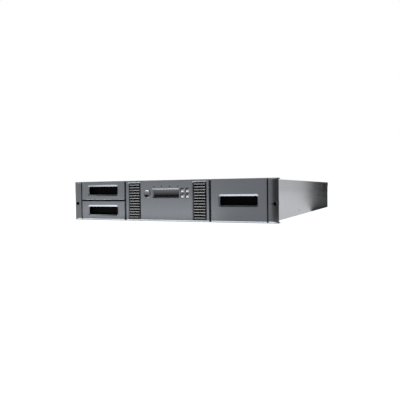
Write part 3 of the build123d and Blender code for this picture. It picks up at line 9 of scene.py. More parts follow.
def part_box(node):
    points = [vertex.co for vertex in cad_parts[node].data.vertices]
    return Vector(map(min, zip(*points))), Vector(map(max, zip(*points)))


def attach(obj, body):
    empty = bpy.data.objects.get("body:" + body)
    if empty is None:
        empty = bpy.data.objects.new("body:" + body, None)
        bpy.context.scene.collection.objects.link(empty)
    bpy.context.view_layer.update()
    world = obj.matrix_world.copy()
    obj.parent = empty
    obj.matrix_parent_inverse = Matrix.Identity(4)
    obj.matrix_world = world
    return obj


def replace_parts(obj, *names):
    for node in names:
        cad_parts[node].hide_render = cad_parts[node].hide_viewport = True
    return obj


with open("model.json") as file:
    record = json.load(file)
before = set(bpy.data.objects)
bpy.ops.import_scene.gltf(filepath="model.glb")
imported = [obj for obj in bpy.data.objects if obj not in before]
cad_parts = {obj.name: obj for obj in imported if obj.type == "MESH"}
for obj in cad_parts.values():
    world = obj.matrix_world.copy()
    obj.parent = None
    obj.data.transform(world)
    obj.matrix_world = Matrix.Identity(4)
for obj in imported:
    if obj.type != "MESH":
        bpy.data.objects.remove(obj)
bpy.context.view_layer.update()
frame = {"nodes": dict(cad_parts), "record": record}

# Tape library, dressed for the picture. Metres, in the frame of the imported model.
MM = 0.001
UP = Vector((0, 0, 1))
WHITE = (1, 1, 1, 1)

# Camera, measured from the middle of the front's foot
CAMERA_RIGHT = 449.8 * MM
CAMERA_AHEAD = 821.5 * MM
CAMERA_HEIGHT = 67.1 * MM
CAMERA_YAW = radians(24.27)
CAMERA_PITCH = radians(-1.38)
CAMERA_ROLL = radians(-0.70)
FOCAL_PIXELS = 443.0
IMAGE_PIXELS = 400.0
SENSOR_WIDTH = 36.0

# Floor and light
WORLD_LEVEL = 0.45
FLOOR_SIZE = 14.0
FLOOR_DROP = 0.2 * MM
FLOOR_PAPER = 0.9
FLOOR_GLOW = 0.8
STRIP_LEVEL = 4.8
STRIP_LIFT = 0.1 * MM
STRIP_LEFT = -0.24
STRIP_RIGHT = 0.12
STRIP_GAP = 18.0 * MM
STRIP_DEPTH = 26.0 * MM

# Studio cards, seen only mirrored: clear at an angle's first slant and solid at its second
CARD_BLACK = 0.01
GLEAM_LEVEL = 3.4
GLEAM_RIGHT = 0.24
GLEAM_DEPTH = 40.0 * MM
GLEAM_UNDER = 4.0 * MM
GLEAM_ANGLE = (0.22, 0.1)
GLEAM_LEAN = (0.41, 0.05, 0.91)
MIRROR_SLOPE = 0.187        # sideways per metre of depth, where the case's side stops mirroring white
REAR_CARD_Y = 2.1
REAR_CARD_WIDTH = 0.45
REAR_CARD_HEIGHT = 0.35
REAR_FLOOR_ANGLE = (0.88, 0.93)
REAR_FLOOR_DELAY = 0.05
EAR_CARD_LEFT = 0.2245
EAR_CARD_RIGHT = 0.39
EAR_CARD_AHEAD = 0.14
EAR_CARD_HEIGHT = 0.13
TOP_CARD_HEIGHT = 0.13
TOP_CARD_DEPTH = 0.2
TOP_CARD_REACH = 0.26
TOP_CARD_ANGLE = (0.68, 0.55)

# Shares that shaders work out: where they start and end, and how far they look
NOISE_LOW = 0.3
NOISE_HIGH = 0.7
NOISE_DETAIL = 3.0
RAY_SAMPLES = 4
EDGE_LIKENESS = (0.82, 0.99)        # of the rounded and the plain normal
# Lips that get the painted sheen: slopes that look up or down, short of level faces
LIP_SLOPE = (0.2, 0.45)
LIP_LEVEL = (0.93, 0.98)
# Painted shade in gaps and holes: where it starts and is full, past all around and past a piece's own shape,
# and how far it looks, for gaps and for the holes in the ear covers
OPEN_AROUND = (0.1, 0.45)
OPEN_OWN = (0.3, 0.8)
GAP_REACH = 6.0 * MM
HOLE_REACH = 14.0 * MM

# Moulded plastic and paint
GRAIN_SCALE = 1100.0
GRAIN_DETAIL = 2.0
GRAIN_HEIGHT = 0.03 * MM
PATCH_SCALE = 14.0
PATCH_SHADES = (0.95, 1.05)
PATCH_ROUGHNESS = 0.04
PLASTIC_EDGE = 0.35 * MM
PLASTIC_GLOSS = 0.5
PLASTIC_WEAR = 1.25
# Painted shade: the share of the colour left far into gaps and holes
PAINTED_SHADE_FACTOR = 0.05

# Sheet metal
DRAWN = (1.0, 0.012, 1.0)
EVEN = (1.0, 1.0, 1.0)
LINE_SCALE = 1900.0
LINE_HEIGHT = 0.0004 * MM
LINE_SMOOTHER = 0.02
LINE_ROUGHER = 0.025
CLOUD_SCALE = 22.0
CLOUD_DETAIL = 5.0
CLOUD_SHADES = (0.95, 1.04)
METAL_EDGE = 0.25 * MM
METAL_WEAR = 1.12
EDGE_SHEEN = 0.6
CASE_ZINC = (0.525, 0.545, 0.57)
CASE_ROUGHNESS = 0.125

# Display
GLASS_DARK = (0.002, 0.002, 0.0025)
# Painted light: the grey the glass turns to near its top
GLASS_PAINTED_LIGHT = (0.18, 0.18, 0.186)
GLASS_FOOT = 6 * MM
GLASS_HEAD = 3 * MM
GLASS_ROUGHNESS = (0.10, 0.18)
GLASS_GLOSS = 0.08
GLASS_EDGE = 0.2 * MM
HAZE_SCALE = 60.0
HAZE_DETAIL = 4.0
HAZE_HEIGHT = 0.002 * MM

# Circuit boards
MASK_COLOUR = (0.012, 0.085, 0.035, 1)
MASK_SECOND = (0.010, 0.070, 0.030, 1)
MASK_SCALE = 90.0
MASK_ROUGHNESS = (0.3, 0.45)
TRACK_COLOUR = (0.03, 0.14, 0.06, 1)
TRACK_SCALE = 180.0
TRACK_WIDTH = 0.12
TRACK_HEIGHT = 0.02 * MM
BOARD_EDGE = 0.15 * MM

# Nodes with a paint of their own instead of their slot's
OWN_PAINT = {"power_button": "button_paint", "ear_covers": "ear_paint"}

# Fasteners. A profile holds shares of the radius and of the height.
SIDES = 28
SCREW_HEAD_HEIGHT = 1.2 * MM
SCREW_SHANK = 1.4 * MM
SCREW_DOME = ((1.0, 0.0), (1.0, 0.4), (0.94, 0.7), (0.75, 0.9), (0.4, 1.0))
CROSS_WIDTH = 0.9 * MM
CROSS_REACH = 1.7 * MM
CROSS_DEPTH = 0.8 * MM
THUMB_HEAD_LENGTH = 8.0 * MM
THUMB_SHANK = 2.0 * MM
THUMB_KNURLS = 32
THUMB_CHAMFER = 0.2         # share of the head's radius
KNURL_DEPTH = 0.3 * MM
THUMB_SLOT_WIDTH = 1.2 * MM
THUMB_SLOT_DEPTH = 1.4 * MM
THUMB_SLOT_RADII = 3        # longer than the head is wide
CUTTER_TOP = 16.0 * MM      # above every head
THREAD_PITCH = 2.0 * MM
THREAD_DEPTH = 0.6 * MM
THREAD_ROWS = 6
THREAD_STARTS = 5
THREAD_SIDES = 40

# Louvres
BLADE_DROP = 1.7 * MM
BLADE_SLANT = 1.0 * MM
BLADE_NOSE = 0.4 * MM
BLADE_CHIN = BLADE_SLANT / 5
BLADE_BROW = BLADE_SLANT / 3
BLADE_END_HEIGHT = 0.8      # share of the height that is left at the ends
BLADE_END_DRAW = 0.25       # share of the depth by which the ends lie further back

# Ports on the rear. A path holds shares of the length and of the drop.
PORT_WALL = 1.0 * MM
PORT_CAVITY = 13.0 * MM
CONTACTS = 8
CONTACT_PITCH = 1.02 * MM
CONTACT_WIDTH = 0.45 * MM
CONTACT_THICKNESS = 0.3 * MM
CONTACT_DROP = 4.5 * MM
CONTACT_PATH = ((0.9, 1.0), (0.7, 1.0), (0.2, 0.0), (0.1, 0.0))
TONGUE_WIDTH = 9.6 * MM
TONGUE_THICKNESS = 1.7 * MM
TONGUE_LENGTH = 9.0 * MM
TONGUE_BEVEL = 0.3 * MM
TONGUE_CONTACTS = 4
TONGUE_PITCH = 2.2 * MM
TONGUE_CONTACT = 1.1 * MM
TONGUE_PATH = ((0.0, 1.0), (0.75, 1.0), (0.85, 0.5))
SOCKET_ROWS = ((5, 0.5), (4, -0.5))     # contacts in a row, and its height in row gaps
SOCKET_PITCH = 2.77 * MM
SOCKET_ROW_GAP = 2.84 * MM
SOCKET_RADIUS = 0.75 * MM
SOCKET_HOLE = 0.5 * MM
SOCKET_PROUD = 0.35 * MM
SOCKET_FLOOR = 0.07 * MM
SOCKET_RIM = ((1.0, 0.0), (1.0, 0.6), (0.85, 1.0))
SOCKET_SIDES = 14

# Controller board
CHIP_BEVEL = 0.4 * MM
CHIP_SIZES = (26.0 * MM, 18.0 * MM, 12.0 * MM)
CHIP_HEIGHT = 2.4 * MM
CHIP_MARGIN = 22.0 * MM
CHIP_GAP = 11.0 * MM
CAN_RADIUS = 4.0 * MM
CAN_HEIGHT = 11.0 * MM
CAN_PROFILE = ((1.0, 0.0), (1.0, 0.12), (0.93, 0.16), (1.0, 0.2), (1.0, 0.95), (0.92, 1.0))
CANS = 4
CAN_PITCH = 11.0 * MM

# Meshes
WELD = 0.001 * MM
SHARP = radians(32)

nodes = frame["nodes"]
front_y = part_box("front_bezel")[0].y
lcd_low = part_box("lcd_window")[0].z
lcd_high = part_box("lcd_window")[1].z


# Materials


def shade(colour, factor):
    return tuple(channel * factor for channel in colour)


def grey(value):
    return (value, value, value, 1)


class Graph:
    """A node tree, with short ways to add nodes and to join them."""

    def __init__(self, owner):
        owner.use_nodes = True
        self.tree = owner.node_tree

    def add(self, kind, **settings):
        node = self.tree.nodes.new(kind)
        for key, value in settings.items():
            setattr(node, key, value)
        return node

    def link(self, source, target):
        self.tree.links.new(source, target)

    def combined(self, operation, first, second):
        node = self.add("ShaderNodeMath", operation=operation)
        self.link(first, node.inputs[0])
        self.link(second, node.inputs[1])
        return node.outputs["Value"]

    def spread(self, source, low, high, start=NOISE_LOW, end=NOISE_HIGH):
        """A value from low to high as the source goes from start to end."""
        node = self.add("ShaderNodeMapRange")
        for key, value in (("From Min", start), ("From Max", end), ("To Min", low), ("To Max", high)):
            node.inputs[key].default_value = value
        self.link(source, node.inputs["Value"])
        return node.outputs["Result"]

    def blend(self, share, first, second):
        """The first shader, and where the share is one the second instead."""
        node = self.add("ShaderNodeMixShader")
        self.link(share, node.inputs["Fac"])
        self.link(first, node.inputs[1])
        self.link(second, node.inputs[2])
        return node.outputs["Shader"]


class Shader(Graph):
    """A material under construction around its principled surface."""

    def __init__(self, name):
        self.material = bpy.data.materials.new(name)
        super().__init__(self.material)
        self.surface = self.tree.nodes["Principled BSDF"]

    def feed(self, source, name):
        self.link(source, self.surface.inputs[name])

    def set(self, name, value):
        self.surface.inputs[name].default_value = value

    def place(self):
        """The object's own coordinates."""
        return self.add("ShaderNodeTexCoord").outputs["Object"]

    def stretched(self, scale):
        """The object's own coordinates, scaled apart along each axis."""
        mapping = self.add("ShaderNodeMapping")
        mapping.inputs["Scale"].default_value = scale
        self.link(self.place(), mapping.inputs["Vector"])
        return mapping.outputs["Vector"]

    def upward(self, vector):
        """The upright part of a vector."""
        split = self.add("ShaderNodeSeparateXYZ")
        self.link(vector, split.inputs["Vector"])
        return split.outputs["Z"]

    def noise(self, scale, detail=NOISE_DETAIL, place=None):
        node = self.add("ShaderNodeTexNoise")
        node.inputs["Scale"].default_value = scale
        node.inputs["Detail"].default_value = detail
        self.link(place or self.place(), node.inputs["Vector"])
        return node.outputs["Fac"]

    def tint(self, source, first, second):
        """A colour from the first to the second as the source goes from none to one."""
        node = self.add("ShaderNodeValToRGB")
        node.color_ramp.elements[0].color = (*first, 1)
        node.color_ramp.elements[1].color = (*second, 1)
        self.link(source, node.inputs["Fac"])
        return node.outputs["Color"]

    def mix(self, share, colour, wear_and_painted_light):
        """One colour, and where the share is one a second colour instead: the lighter edge colour, partly
        scuffing and partly painted sheen, or the painted shade.
        """
        node = self.add("ShaderNodeMix", data_type="RGBA")
        self.link(share, node.inputs["Factor"])
        self.link(colour, node.inputs["A"])
        node.inputs["B"].default_value = (*wear_and_painted_light, 1)
        return node.outputs["Result"]

    def edges(self, radius):
        """Normals that round the edges over the radius, and a share that is one on the edges."""
        soft = self.add("ShaderNodeBevel", samples=RAY_SAMPLES)
        soft.inputs["Radius"].default_value = radius
        flat = self.add("ShaderNodeNewGeometry")
        across = self.add("ShaderNodeVectorMath", operation="DOT_PRODUCT")
        self.link(soft.outputs["Normal"], across.inputs[0])
        self.link(flat.outputs["Normal"], across.inputs[1])
        return soft.outputs["Normal"], self.spread(across.outputs["Value"], 1.0, 0.0, *EDGE_LIKENESS)

    def lips(self):
        """A share that is one on slopes and rounds that look up or down, and none on level faces."""
        normal = self.add("ShaderNodeNewGeometry").outputs["True Normal"]
        tilt = self.add("ShaderNodeMath", operation="ABSOLUTE")
        self.link(self.upward(normal), tilt.inputs[0])
        slope = self.spread(tilt.outputs["Value"], 0.0, 1.0, *LIP_SLOPE)
        return self.combined("MULTIPLY", slope, self.spread(tilt.outputs["Value"], 1.0, 0.0, *LIP_LEVEL))

    def shelter(self, reach, start, end, own):
        """A share that grows as less of the sky is seen, past its own shape or past all around."""
        node = self.add("ShaderNodeAmbientOcclusion", samples=RAY_SAMPLES, only_local=own)
        node.inputs["Distance"].default_value = reach
        return self.spread(node.outputs["AO"], 1.0, 0.0, start, end)

    def recess(self, reach):
        """A share that is one far into gaps and holes, for the painted shade of moulded materials."""
        around = self.shelter(GAP_REACH, *OPEN_AROUND, own=False)
        return self.combined("MAXIMUM", around, self.shelter(reach, *OPEN_OWN, own=True))

    def bump(self, source, height, normal):
        node = self.add("ShaderNodeBump")
        node.inputs["Strength"].default_value = 1.0
        node.inputs["Distance"].default_value = height
        self.link(source, node.inputs["Height"])
        self.link(normal, node.inputs["Normal"])
        self.feed(node.outputs["Normal"], "Normal")


materials = {}


def moulded(name, colour, roughness, height=GRAIN_HEIGHT, edge=PLASTIC_EDGE, gloss=PLASTIC_GLOSS,
            flake=0.0, wear_and_sheen=PLASTIC_WEAR, reach=GAP_REACH, polish_and_sheen=None):
    """Moulded plastic or paint: fine grain, slightly uneven colour, lighter edges, and painted shade that
    darkens gaps and holes and takes their gloss away.

    Flake says how metallic it is. The last level, where it is given, sets how metallic edges and lips are,
    and lips that look up or down get the lighter edge colour too: partly polished, scuffed edges and partly a
    painted sheen.
    """
    shader = Shader(name)
    patch = shader.noise(PATCH_SCALE)
    normal, wear_and_painted_light = shader.edges(edge)
    # With the last level given, lips that look up or down also get the lighter, more metallic edge paint: a
    # painted sheen
    if polish_and_sheen:
        wear_and_painted_light = shader.combined("MAXIMUM", wear_and_painted_light, shader.lips())
    colours = shader.tint(patch, *(shade(colour, factor) for factor in PATCH_SHADES))
    wear_and_sheen_colour = shader.mix(wear_and_painted_light, colours, shade(colour, wear_and_sheen))
    # Painted shade: gaps and holes darken and lose their gloss and metal
    painted_shade = shader.recess(reach)
    shader.feed(shader.mix(painted_shade, wear_and_sheen_colour, shade(colour, PAINTED_SHADE_FACTOR)), "Base Color")
    shader.feed(shader.spread(patch, roughness - PATCH_ROUGHNESS, roughness + PATCH_ROUGHNESS), "Roughness")
    shader.feed(shader.spread(painted_shade, gloss, 0.0, 0.0, 1.0), "Specular IOR Level")
    shine = shader.spread(wear_and_painted_light, flake, polish_and_sheen or flake, 0.0, 1.0)
    unshaded_share = shader.spread(painted_shade, 1.0, 0.0, 0.0, 1.0)
    shader.feed(shader.combined("MULTIPLY", shine, unshaded_share), "Metallic")
    shader.bump(shader.noise(GRAIN_SCALE, GRAIN_DETAIL), height, normal)
    materials[name] = shader.material


def sheet_metal(name, colour, roughness, grain=DRAWN):
    """Bare or coated metal: fine lines along the grain over a cloudy colour."""
    shader = Shader(name)
    lines = shader.noise(LINE_SCALE, place=shader.stretched(grain))
    cloud = shader.noise(CLOUD_SCALE, CLOUD_DETAIL)
    normal, wear_and_painted_light = shader.edges(METAL_EDGE)
    colours = shader.tint(cloud, *(shade(colour, factor) for factor in CLOUD_SHADES))
    shader.set("Metallic", 1.0)
    shader.set("Specular Tint", grey(EDGE_SHEEN))
    shader.feed(shader.mix(wear_and_painted_light, colours, shade(colour, METAL_WEAR)), "Base Color")
    shader.feed(shader.spread(lines, roughness - LINE_SMOOTHER, roughness + LINE_ROUGHER), "Roughness")
    shader.bump(lines, LINE_HEIGHT, normal)
    materials[name] = shader.material


def display_glass(name):
    """Smoked window over a display that is off: dark below, with painted light that greys it towards the top.
    """
    shader = Shader(name)
    haze = shader.noise(HAZE_SCALE, HAZE_DETAIL)
    # Painted light: the glass greys towards its top
    rise = shader.spread(shader.upward(shader.place()), 0.0, 1.0, lcd_low + GLASS_FOOT, lcd_high - GLASS_HEAD)
    shader.feed(shader.tint(rise, GLASS_DARK, GLASS_PAINTED_LIGHT), "Base Color")
    shader.feed(shader.spread(haze, *GLASS_ROUGHNESS), "Roughness")
    shader.set("Specular IOR Level", GLASS_GLOSS)
    normal, _ = shader.edges(GLASS_EDGE)
    shader.bump(haze, HAZE_HEIGHT, normal)
    materials[name] = shader.material


def circuit_board(name):
    """Solder mask with paler tracks under it."""
    shader = Shader(name)
    tracks = shader.add("ShaderNodeTexBrick")
    tracks.inputs["Scale"].default_value = TRACK_SCALE
    tracks.inputs["Mortar Size"].default_value = TRACK_WIDTH
    tracks.inputs["Color1"].default_value = MASK_COLOUR
    tracks.inputs["Color2"].default_value = MASK_SECOND
    tracks.inputs["Mortar"].default_value = TRACK_COLOUR
    shader.link(shader.place(), tracks.inputs["Vector"])
    shader.feed(tracks.outputs["Color"], "Base Color")
    shader.feed(shader.spread(shader.noise(MASK_SCALE), *MASK_ROUGHNESS), "Roughness")
    normal, _ = shader.edges(BOARD_EDGE)
    shader.bump(tracks.outputs["Fac"], TRACK_HEIGHT, normal)
    materials[name] = shader.material


sheet_metal("case_metal", CASE_ZINC, CASE_ROUGHNESS)
sheet_metal("cover_metal", CASE_ZINC, CASE_ROUGHNESS)
sheet_metal("inner_metal", (0.52, 0.525, 0.53), roughness=0.34)
sheet_metal("bright_steel", (0.60, 0.605, 0.61), roughness=0.2)
sheet_metal("screw_metal", (0.56, 0.56, 0.555), roughness=0.24, grain=EVEN)
sheet_metal("dark_screw", (0.09, 0.09, 0.092), roughness=0.35, grain=EVEN)
sheet_metal("gripper_metal", (0.66, 0.665, 0.67), roughness=0.3)
sheet_metal("drive_metal", (0.54, 0.545, 0.55), roughness=0.3)
sheet_metal("port_metal", (0.58, 0.575, 0.56), roughness=0.25, grain=EVEN)
sheet_metal("contact_gold", (0.75, 0.55, 0.22), roughness=0.22, grain=EVEN)
display_glass("display_glass")
circuit_board("circuit_board")
# Front, ear covers and button: lighter, more metallic edges and lips, partly scuffing and partly painted
# sheen
moulded("front_plastic", (0.181, 0.194, 0.214), roughness=0.4, edge=0.8 * MM,
        flake=0.38, wear_and_sheen=1.8, polish_and_sheen=0.95)
moulded("ear_paint", (0.135, 0.143, 0.154), roughness=0.32,
        flake=0.6, wear_and_sheen=2.2, reach=HOLE_REACH, polish_and_sheen=0.95)
moulded("button_paint", (0.13, 0.133, 0.14), roughness=0.13, height=0.004 * MM,
        flake=1.0, wear_and_sheen=2.3, polish_and_sheen=1.0)
moulded("louvre_plastic", (0.2, 0.203, 0.21), roughness=0.35, height=0.01 * MM, edge=0.2 * MM,
        flake=0.6, wear_and_sheen=1.0)
moulded("key_plastic", (0.30, 0.305, 0.31), roughness=0.25, height=0.006 * MM, edge=0.15 * MM, flake=0.8)
moulded("light_pipe", (0.008, 0.009, 0.008), roughness=0.25, height=0.003 * MM, edge=0.2 * MM, gloss=0.3)
# Black-coated rack ears; seen through the holes in the ear covers, this black is also painted shade
moulded("ear_steel", (0.006, 0.006, 0.007), roughness=0.8, gloss=0.0)
moulded("black_plastic", (0.0025, 0.0025, 0.003), roughness=0.65, gloss=0.04)
moulded("magazine_plastic", (0.022, 0.022, 0.024), roughness=0.5, gloss=0.3)
moulded("picker_plastic", (0.05, 0.052, 0.056), roughness=0.45)
moulded("motor_metal", (0.03, 0.03, 0.033), roughness=0.35)
moulded("gear_plastic", (0.60, 0.57, 0.47), roughness=0.4)
moulded("nylon", (0.62, 0.60, 0.54), roughness=0.45)

for piece in frame["record"]["subparts"]:
    paint = OWN_PAINT.get(piece["node"], piece["material_slot"])
    target = nodes[piece["node"]]
    target.data.materials.clear()
    target.data.materials.append(materials[paint])


# Mesh tools


def rectangle(first, second):
    """The four corners of a rectangle in turn, from its ends along two axes."""
    (low, high), (near, far) = first, second
    return ((low, near), (high, near), (high, far), (low, far))


def row(count, pitch):
    """Where the members of an even row lie, from its middle."""
    return [(step - (count - 1) / 2) * pitch for step in range(count)]


def scaled(profile, radius, height):
    return [(across * radius, up * height) for across, up in profile]


def skin(work, rings):
    """Adds a closed solid through rings that all have as many points."""
    loops = [[work.verts.new(point) for point in ring] for ring in rings]
    count = len(loops[0])
    for lower, upper in zip(loops, loops[1:]):
        for step in range(count):
            after = (step + 1) % count
            work.faces.new((lower[step], lower[after], upper[after], upper[step]))
    work.faces.new(loops[0])
    work.faces.new(loops[-1])


def solid_mesh(name, solids):
    """One mesh from several solids, each given as its rings."""
    work = bmesh.new()
    for rings in solids:
        skin(work, rings)
    bmesh.ops.recalc_face_normals(work, faces=work.faces)
    mesh = bpy.data.meshes.new(name)
    work.to_mesh(mesh)
    work.free()
    return mesh


def cut(mesh, cutter):
    """The mesh with the cutter's solids taken out of it."""
    kept = bpy.data.objects.new("kept", mesh)
    tool = bpy.data.objects.new("tool", cutter)
    for piece in (kept, tool):
        bpy.context.scene.collection.objects.link(piece)
    change = kept.modifiers.new("cut", "BOOLEAN")
    change.object = tool
    change.solver = "EXACT"
    result = bpy.data.meshes.new_from_object(kept.evaluated_get(bpy.context.evaluated_depsgraph_get()))
    for piece in (kept, tool):
        bpy.data.objects.remove(piece)
    return result


def add_piece(name, mesh, body, slot, material=None):
    """A piece of the object that moves with a body and has the look of a slot, or a material of its own."""
    mesh.polygons.foreach_set("use_smooth", [True] * len(mesh.polygons))
    mesh.set_sharp_from_angle(angle=SHARP)
    mesh.materials.clear()
    mesh.materials.append(materials[material or slot])
    piece = bpy.data.objects.new(name, mesh)
    bpy.context.scene.collection.objects.link(piece)
    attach(piece, body)
    return piece


def add_solids(name, solids, slot, material=None):
    """A piece of the chassis from several solids."""
    add_piece(name, solid_mesh(name, solids), "chassis", slot, material)


def circle(reaches, height, place):
    """A ring of points, evenly turned about a place's axis, each at its own reach from it."""
    ring = []
    for step, reach in enumerate(reaches):
        turn = tau * step / len(reaches)
        ring.append(place @ Vector((reach * cos(turn), reach * sin(turn), height)))
    return ring


def turned(profile, place, sides=SIDES, knurl=0.0):
    """Rings of a turned shape from (radius, height) pairs. Knurls go in at the widest radius."""
    widest = max(radius for radius, _ in profile)
    rings = []
    for radius, height in profile:
        groove = knurl if radius == widest else 0.0
        rings.append(circle([radius - groove * (step % 2) for step in range(sides)], height, place))
    return rings


def threaded(radius, length, place):
    """Rings of a rod with a screw thread of several starts along it."""
    rows = round(length / THREAD_PITCH * THREAD_ROWS)
    rings = []
    for step in range(rows + 1):
        height = length * step / rows
        starts = [THREAD_STARTS * side / THREAD_SIDES for side in range(THREAD_SIDES)]
        phases = [(height / THREAD_PITCH - start) % 1 for start in starts]
        rings.append(circle([radius - THREAD_DEPTH * abs(2 * phase - 1) for phase in phases], height, place))
    return rings


def brick(low, high, bevel):
    """Rings of a box whose upper edges are slanted off."""
    rings = []
    for z, inset in ((low.z, 0.0), (high.z - bevel, 0.0), (high.z, bevel)):
        corners = rectangle((low.x + inset, high.x - inset), (low.y + inset, high.y - inset))
        rings.append([Vector((x, y, z)) for x, y in corners])
    return rings


def strip(middle, width, path):
    """Rings of a flat contact that follows a path of (y, z) points."""
    ends = (middle - width / 2, middle + width / 2)
    rings = []
    for y, under in path:
        corners = rectangle(ends, (under, under + CONTACT_THICKNESS))
        rings.append([Vector((x, y, z)) for x, z in corners])
    return rings


def solids_of(node):
    """Lowest and highest corner of each separate solid in a node."""
    work = bmesh.new()
    work.from_mesh(nodes[node].data)
    bmesh.ops.remove_doubles(work, verts=work.verts, dist=WELD)
    seen = set()
    boxes = []
    for start in work.verts:
        if start in seen:
            continue
        group = [start]
        seen.add(start)
        for vert in group:
            for edge in vert.link_edges:
                other = edge.other_vert(vert)
                if other not in seen:
                    seen.add(other)
                    group.append(other)
        points = [nodes[node].matrix_world @ vert.co for vert in group]
        low = Vector([min(point[axis] for point in points) for axis in range(3)])
        high = Vector([max(point[axis] for point in points) for axis in range(3)])
        boxes.append((low, high))
    work.free()
    return boxes


# Fasteners


def facing(spot, outward):
    """A place at a spot, with its own Z pointing outward."""
    return Matrix.Translation(spot) @ UP.rotation_difference(outward).to_matrix().to_4x4()


def fastener_place(low, high, axis, head):
    """Where a fastener's head meets what it holds, with its own Z pointing out of it."""
    middle = (low + high) / 2
    outward = Vector((0, 0, 0))
    outward[axis] = 1 if middle[axis] > 0 else -1
    return facing(middle + outward * ((high - low)[axis] / 2 - head), outward)


def bar(place, length, width, height):
    """Rings of a bar that lies across a fastener's axis, from a height to past the head's top."""
    corners = rectangle((-length / 2, length / 2), (-width / 2, width / 2))
    return [[place @ Vector((x, y, z)) for x, y in corners] for z in (height, CUTTER_TOP)]


def case_screws():
    """Domed pan heads with a cross recess."""
    heads = []
    slots = []
    crossings = []
    for low, high in solids_of("case_screws"):
        size = high - low
        axis = min(range(3), key=lambda index: size[index])
        place = fastener_place(low, high, axis, SCREW_HEAD_HEIGHT)
        shank = [(SCREW_SHANK, SCREW_HEAD_HEIGHT - min(size)), (SCREW_SHANK, 0)]
        heads.append(turned(shank + scaled(SCREW_DOME, max(size) / 2, SCREW_HEAD_HEIGHT), place))
        floor = SCREW_HEAD_HEIGHT - CROSS_DEPTH
        slots.append(bar(place, 2 * CROSS_REACH, CROSS_WIDTH, floor))
        crossings.append(bar(place, CROSS_WIDTH, 2 * CROSS_REACH, floor))
    mesh = cut(solid_mesh("case_screw_heads", heads), solid_mesh("slots", slots))
    mesh = cut(mesh, solid_mesh("crossings", crossings))
    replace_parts(add_piece("case_screw_heads", mesh, "chassis", "screw_metal", "dark_screw"), "case_screws")


def thumbscrews(place_name):
    """Knurled heads with a driver slot on a drive sled."""
    node = f"{place_name}_drive_thumbscrews"
    heads = []
    slots = []
    for low, high in solids_of(node):
        radius = (high.x - low.x) / 2
        chamfer = THUMB_CHAMFER * radius
        place = fastener_place(low, high, 1, THUMB_HEAD_LENGTH)
        profile = (
            (THUMB_SHANK, THUMB_HEAD_LENGTH - (high.y - low.y)),
            (THUMB_SHANK, 0),
            (radius - chamfer, 0),
            (radius, chamfer / 2),
            (radius, THUMB_HEAD_LENGTH - chamfer),
            (radius - chamfer, THUMB_HEAD_LENGTH),
        )
        heads.append(turned(profile, place, 2 * THUMB_KNURLS, KNURL_DEPTH))
        floor = THUMB_HEAD_LENGTH - THUMB_SLOT_DEPTH
        slots.append(bar(place, THUMB_SLOT_RADII * radius, THUMB_SLOT_WIDTH, floor))
    mesh = cut(solid_mesh(node, heads), solid_mesh("slots", slots))
    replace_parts(add_piece(f"{place_name}_knurled_screws", mesh, f"{place_name}_drive", "screw_metal"), node)


def lift_screw():
    """Threaded rod in place of the plain one."""
    low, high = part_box("lift_screw")
    place = Matrix.Translation(((low.x + high.x) / 2, (low.y + high.y) / 2, low.z))
    mesh = solid_mesh("lift_thread", [threaded((high.x - low.x) / 2, high.z - low.z, place)])
    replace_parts(add_piece("lift_thread", mesh, "lift_screw", "bright_steel"), "lift_screw")


# Front, ports and boards


def louvre_blades():
    """Blades with a soft nose, a top that slopes back and rounded ends, in place of the plain bars."""
    blades = []
    for low, high in solids_of("grille_louvres"):
        nose = high.z - BLADE_DROP
        full = (
            (high.y, low.z),
            (low.y + BLADE_SLANT, low.z),
            (low.y + BLADE_CHIN, nose - BLADE_NOSE),
            (low.y, nose),
            (low.y + BLADE_BROW, nose + BLADE_NOSE / 2),
            (high.y, high.z),
        )
        middle = (low.z + high.z) / 2
        end = [
            (y + BLADE_END_DRAW * (high.y - y), middle + BLADE_END_HEIGHT * (z - middle))
            for y, z in full
        ]
        stations = ((low.x, end), (low.x + BLADE_NOSE, full), (high.x - BLADE_NOSE, full), (high.x, end))
        blades.append([[Vector((x, y, z)) for y, z in profile] for x, profile in stations])
    mesh = solid_mesh("louvre_blades", blades)
    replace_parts(add_piece("louvre_blades", mesh, "chassis", "louvre_plastic"), "grille_louvres")


def network_contacts(low, high):
    """Eight spring contacts that slope down into the network socket."""
    x = (low.x + high.x) / 2
    top = high.z - PORT_WALL - 2 * CONTACT_THICKNESS
    path = [(high.y - depth * PORT_CAVITY, top - drop * CONTACT_DROP) for depth, drop in CONTACT_PATH]
    springs = [strip(x + offset, CONTACT_WIDTH, path) for offset in row(CONTACTS, CONTACT_PITCH)]
    add_solids("network_contacts", springs, "port_metal", "contact_gold")


def usb_tongue(low, high):
    """Tongue in the serial-bus socket with its contact strips underneath."""
    x = (low.x + high.x) / 2
    under = (low.z + high.z) / 2
    back = high.y - PORT_CAVITY
    corner = Vector((x - TONGUE_WIDTH / 2, back, under))
    far = Vector((x + TONGUE_WIDTH / 2, back + TONGUE_LENGTH, under + TONGUE_THICKNESS))
    add_solids("usb_tongue", [brick(corner, far, TONGUE_BEVEL)], "black_plastic")
    path = [(back + depth * TONGUE_LENGTH, under - drop * CONTACT_THICKNESS) for depth, drop in TONGUE_PATH]
    springs = [strip(x + offset, TONGUE_CONTACT, path) for offset in row(TONGUE_CONTACTS, TONGUE_PITCH)]
    add_solids("usb_contacts", springs, "port_metal", "contact_gold")


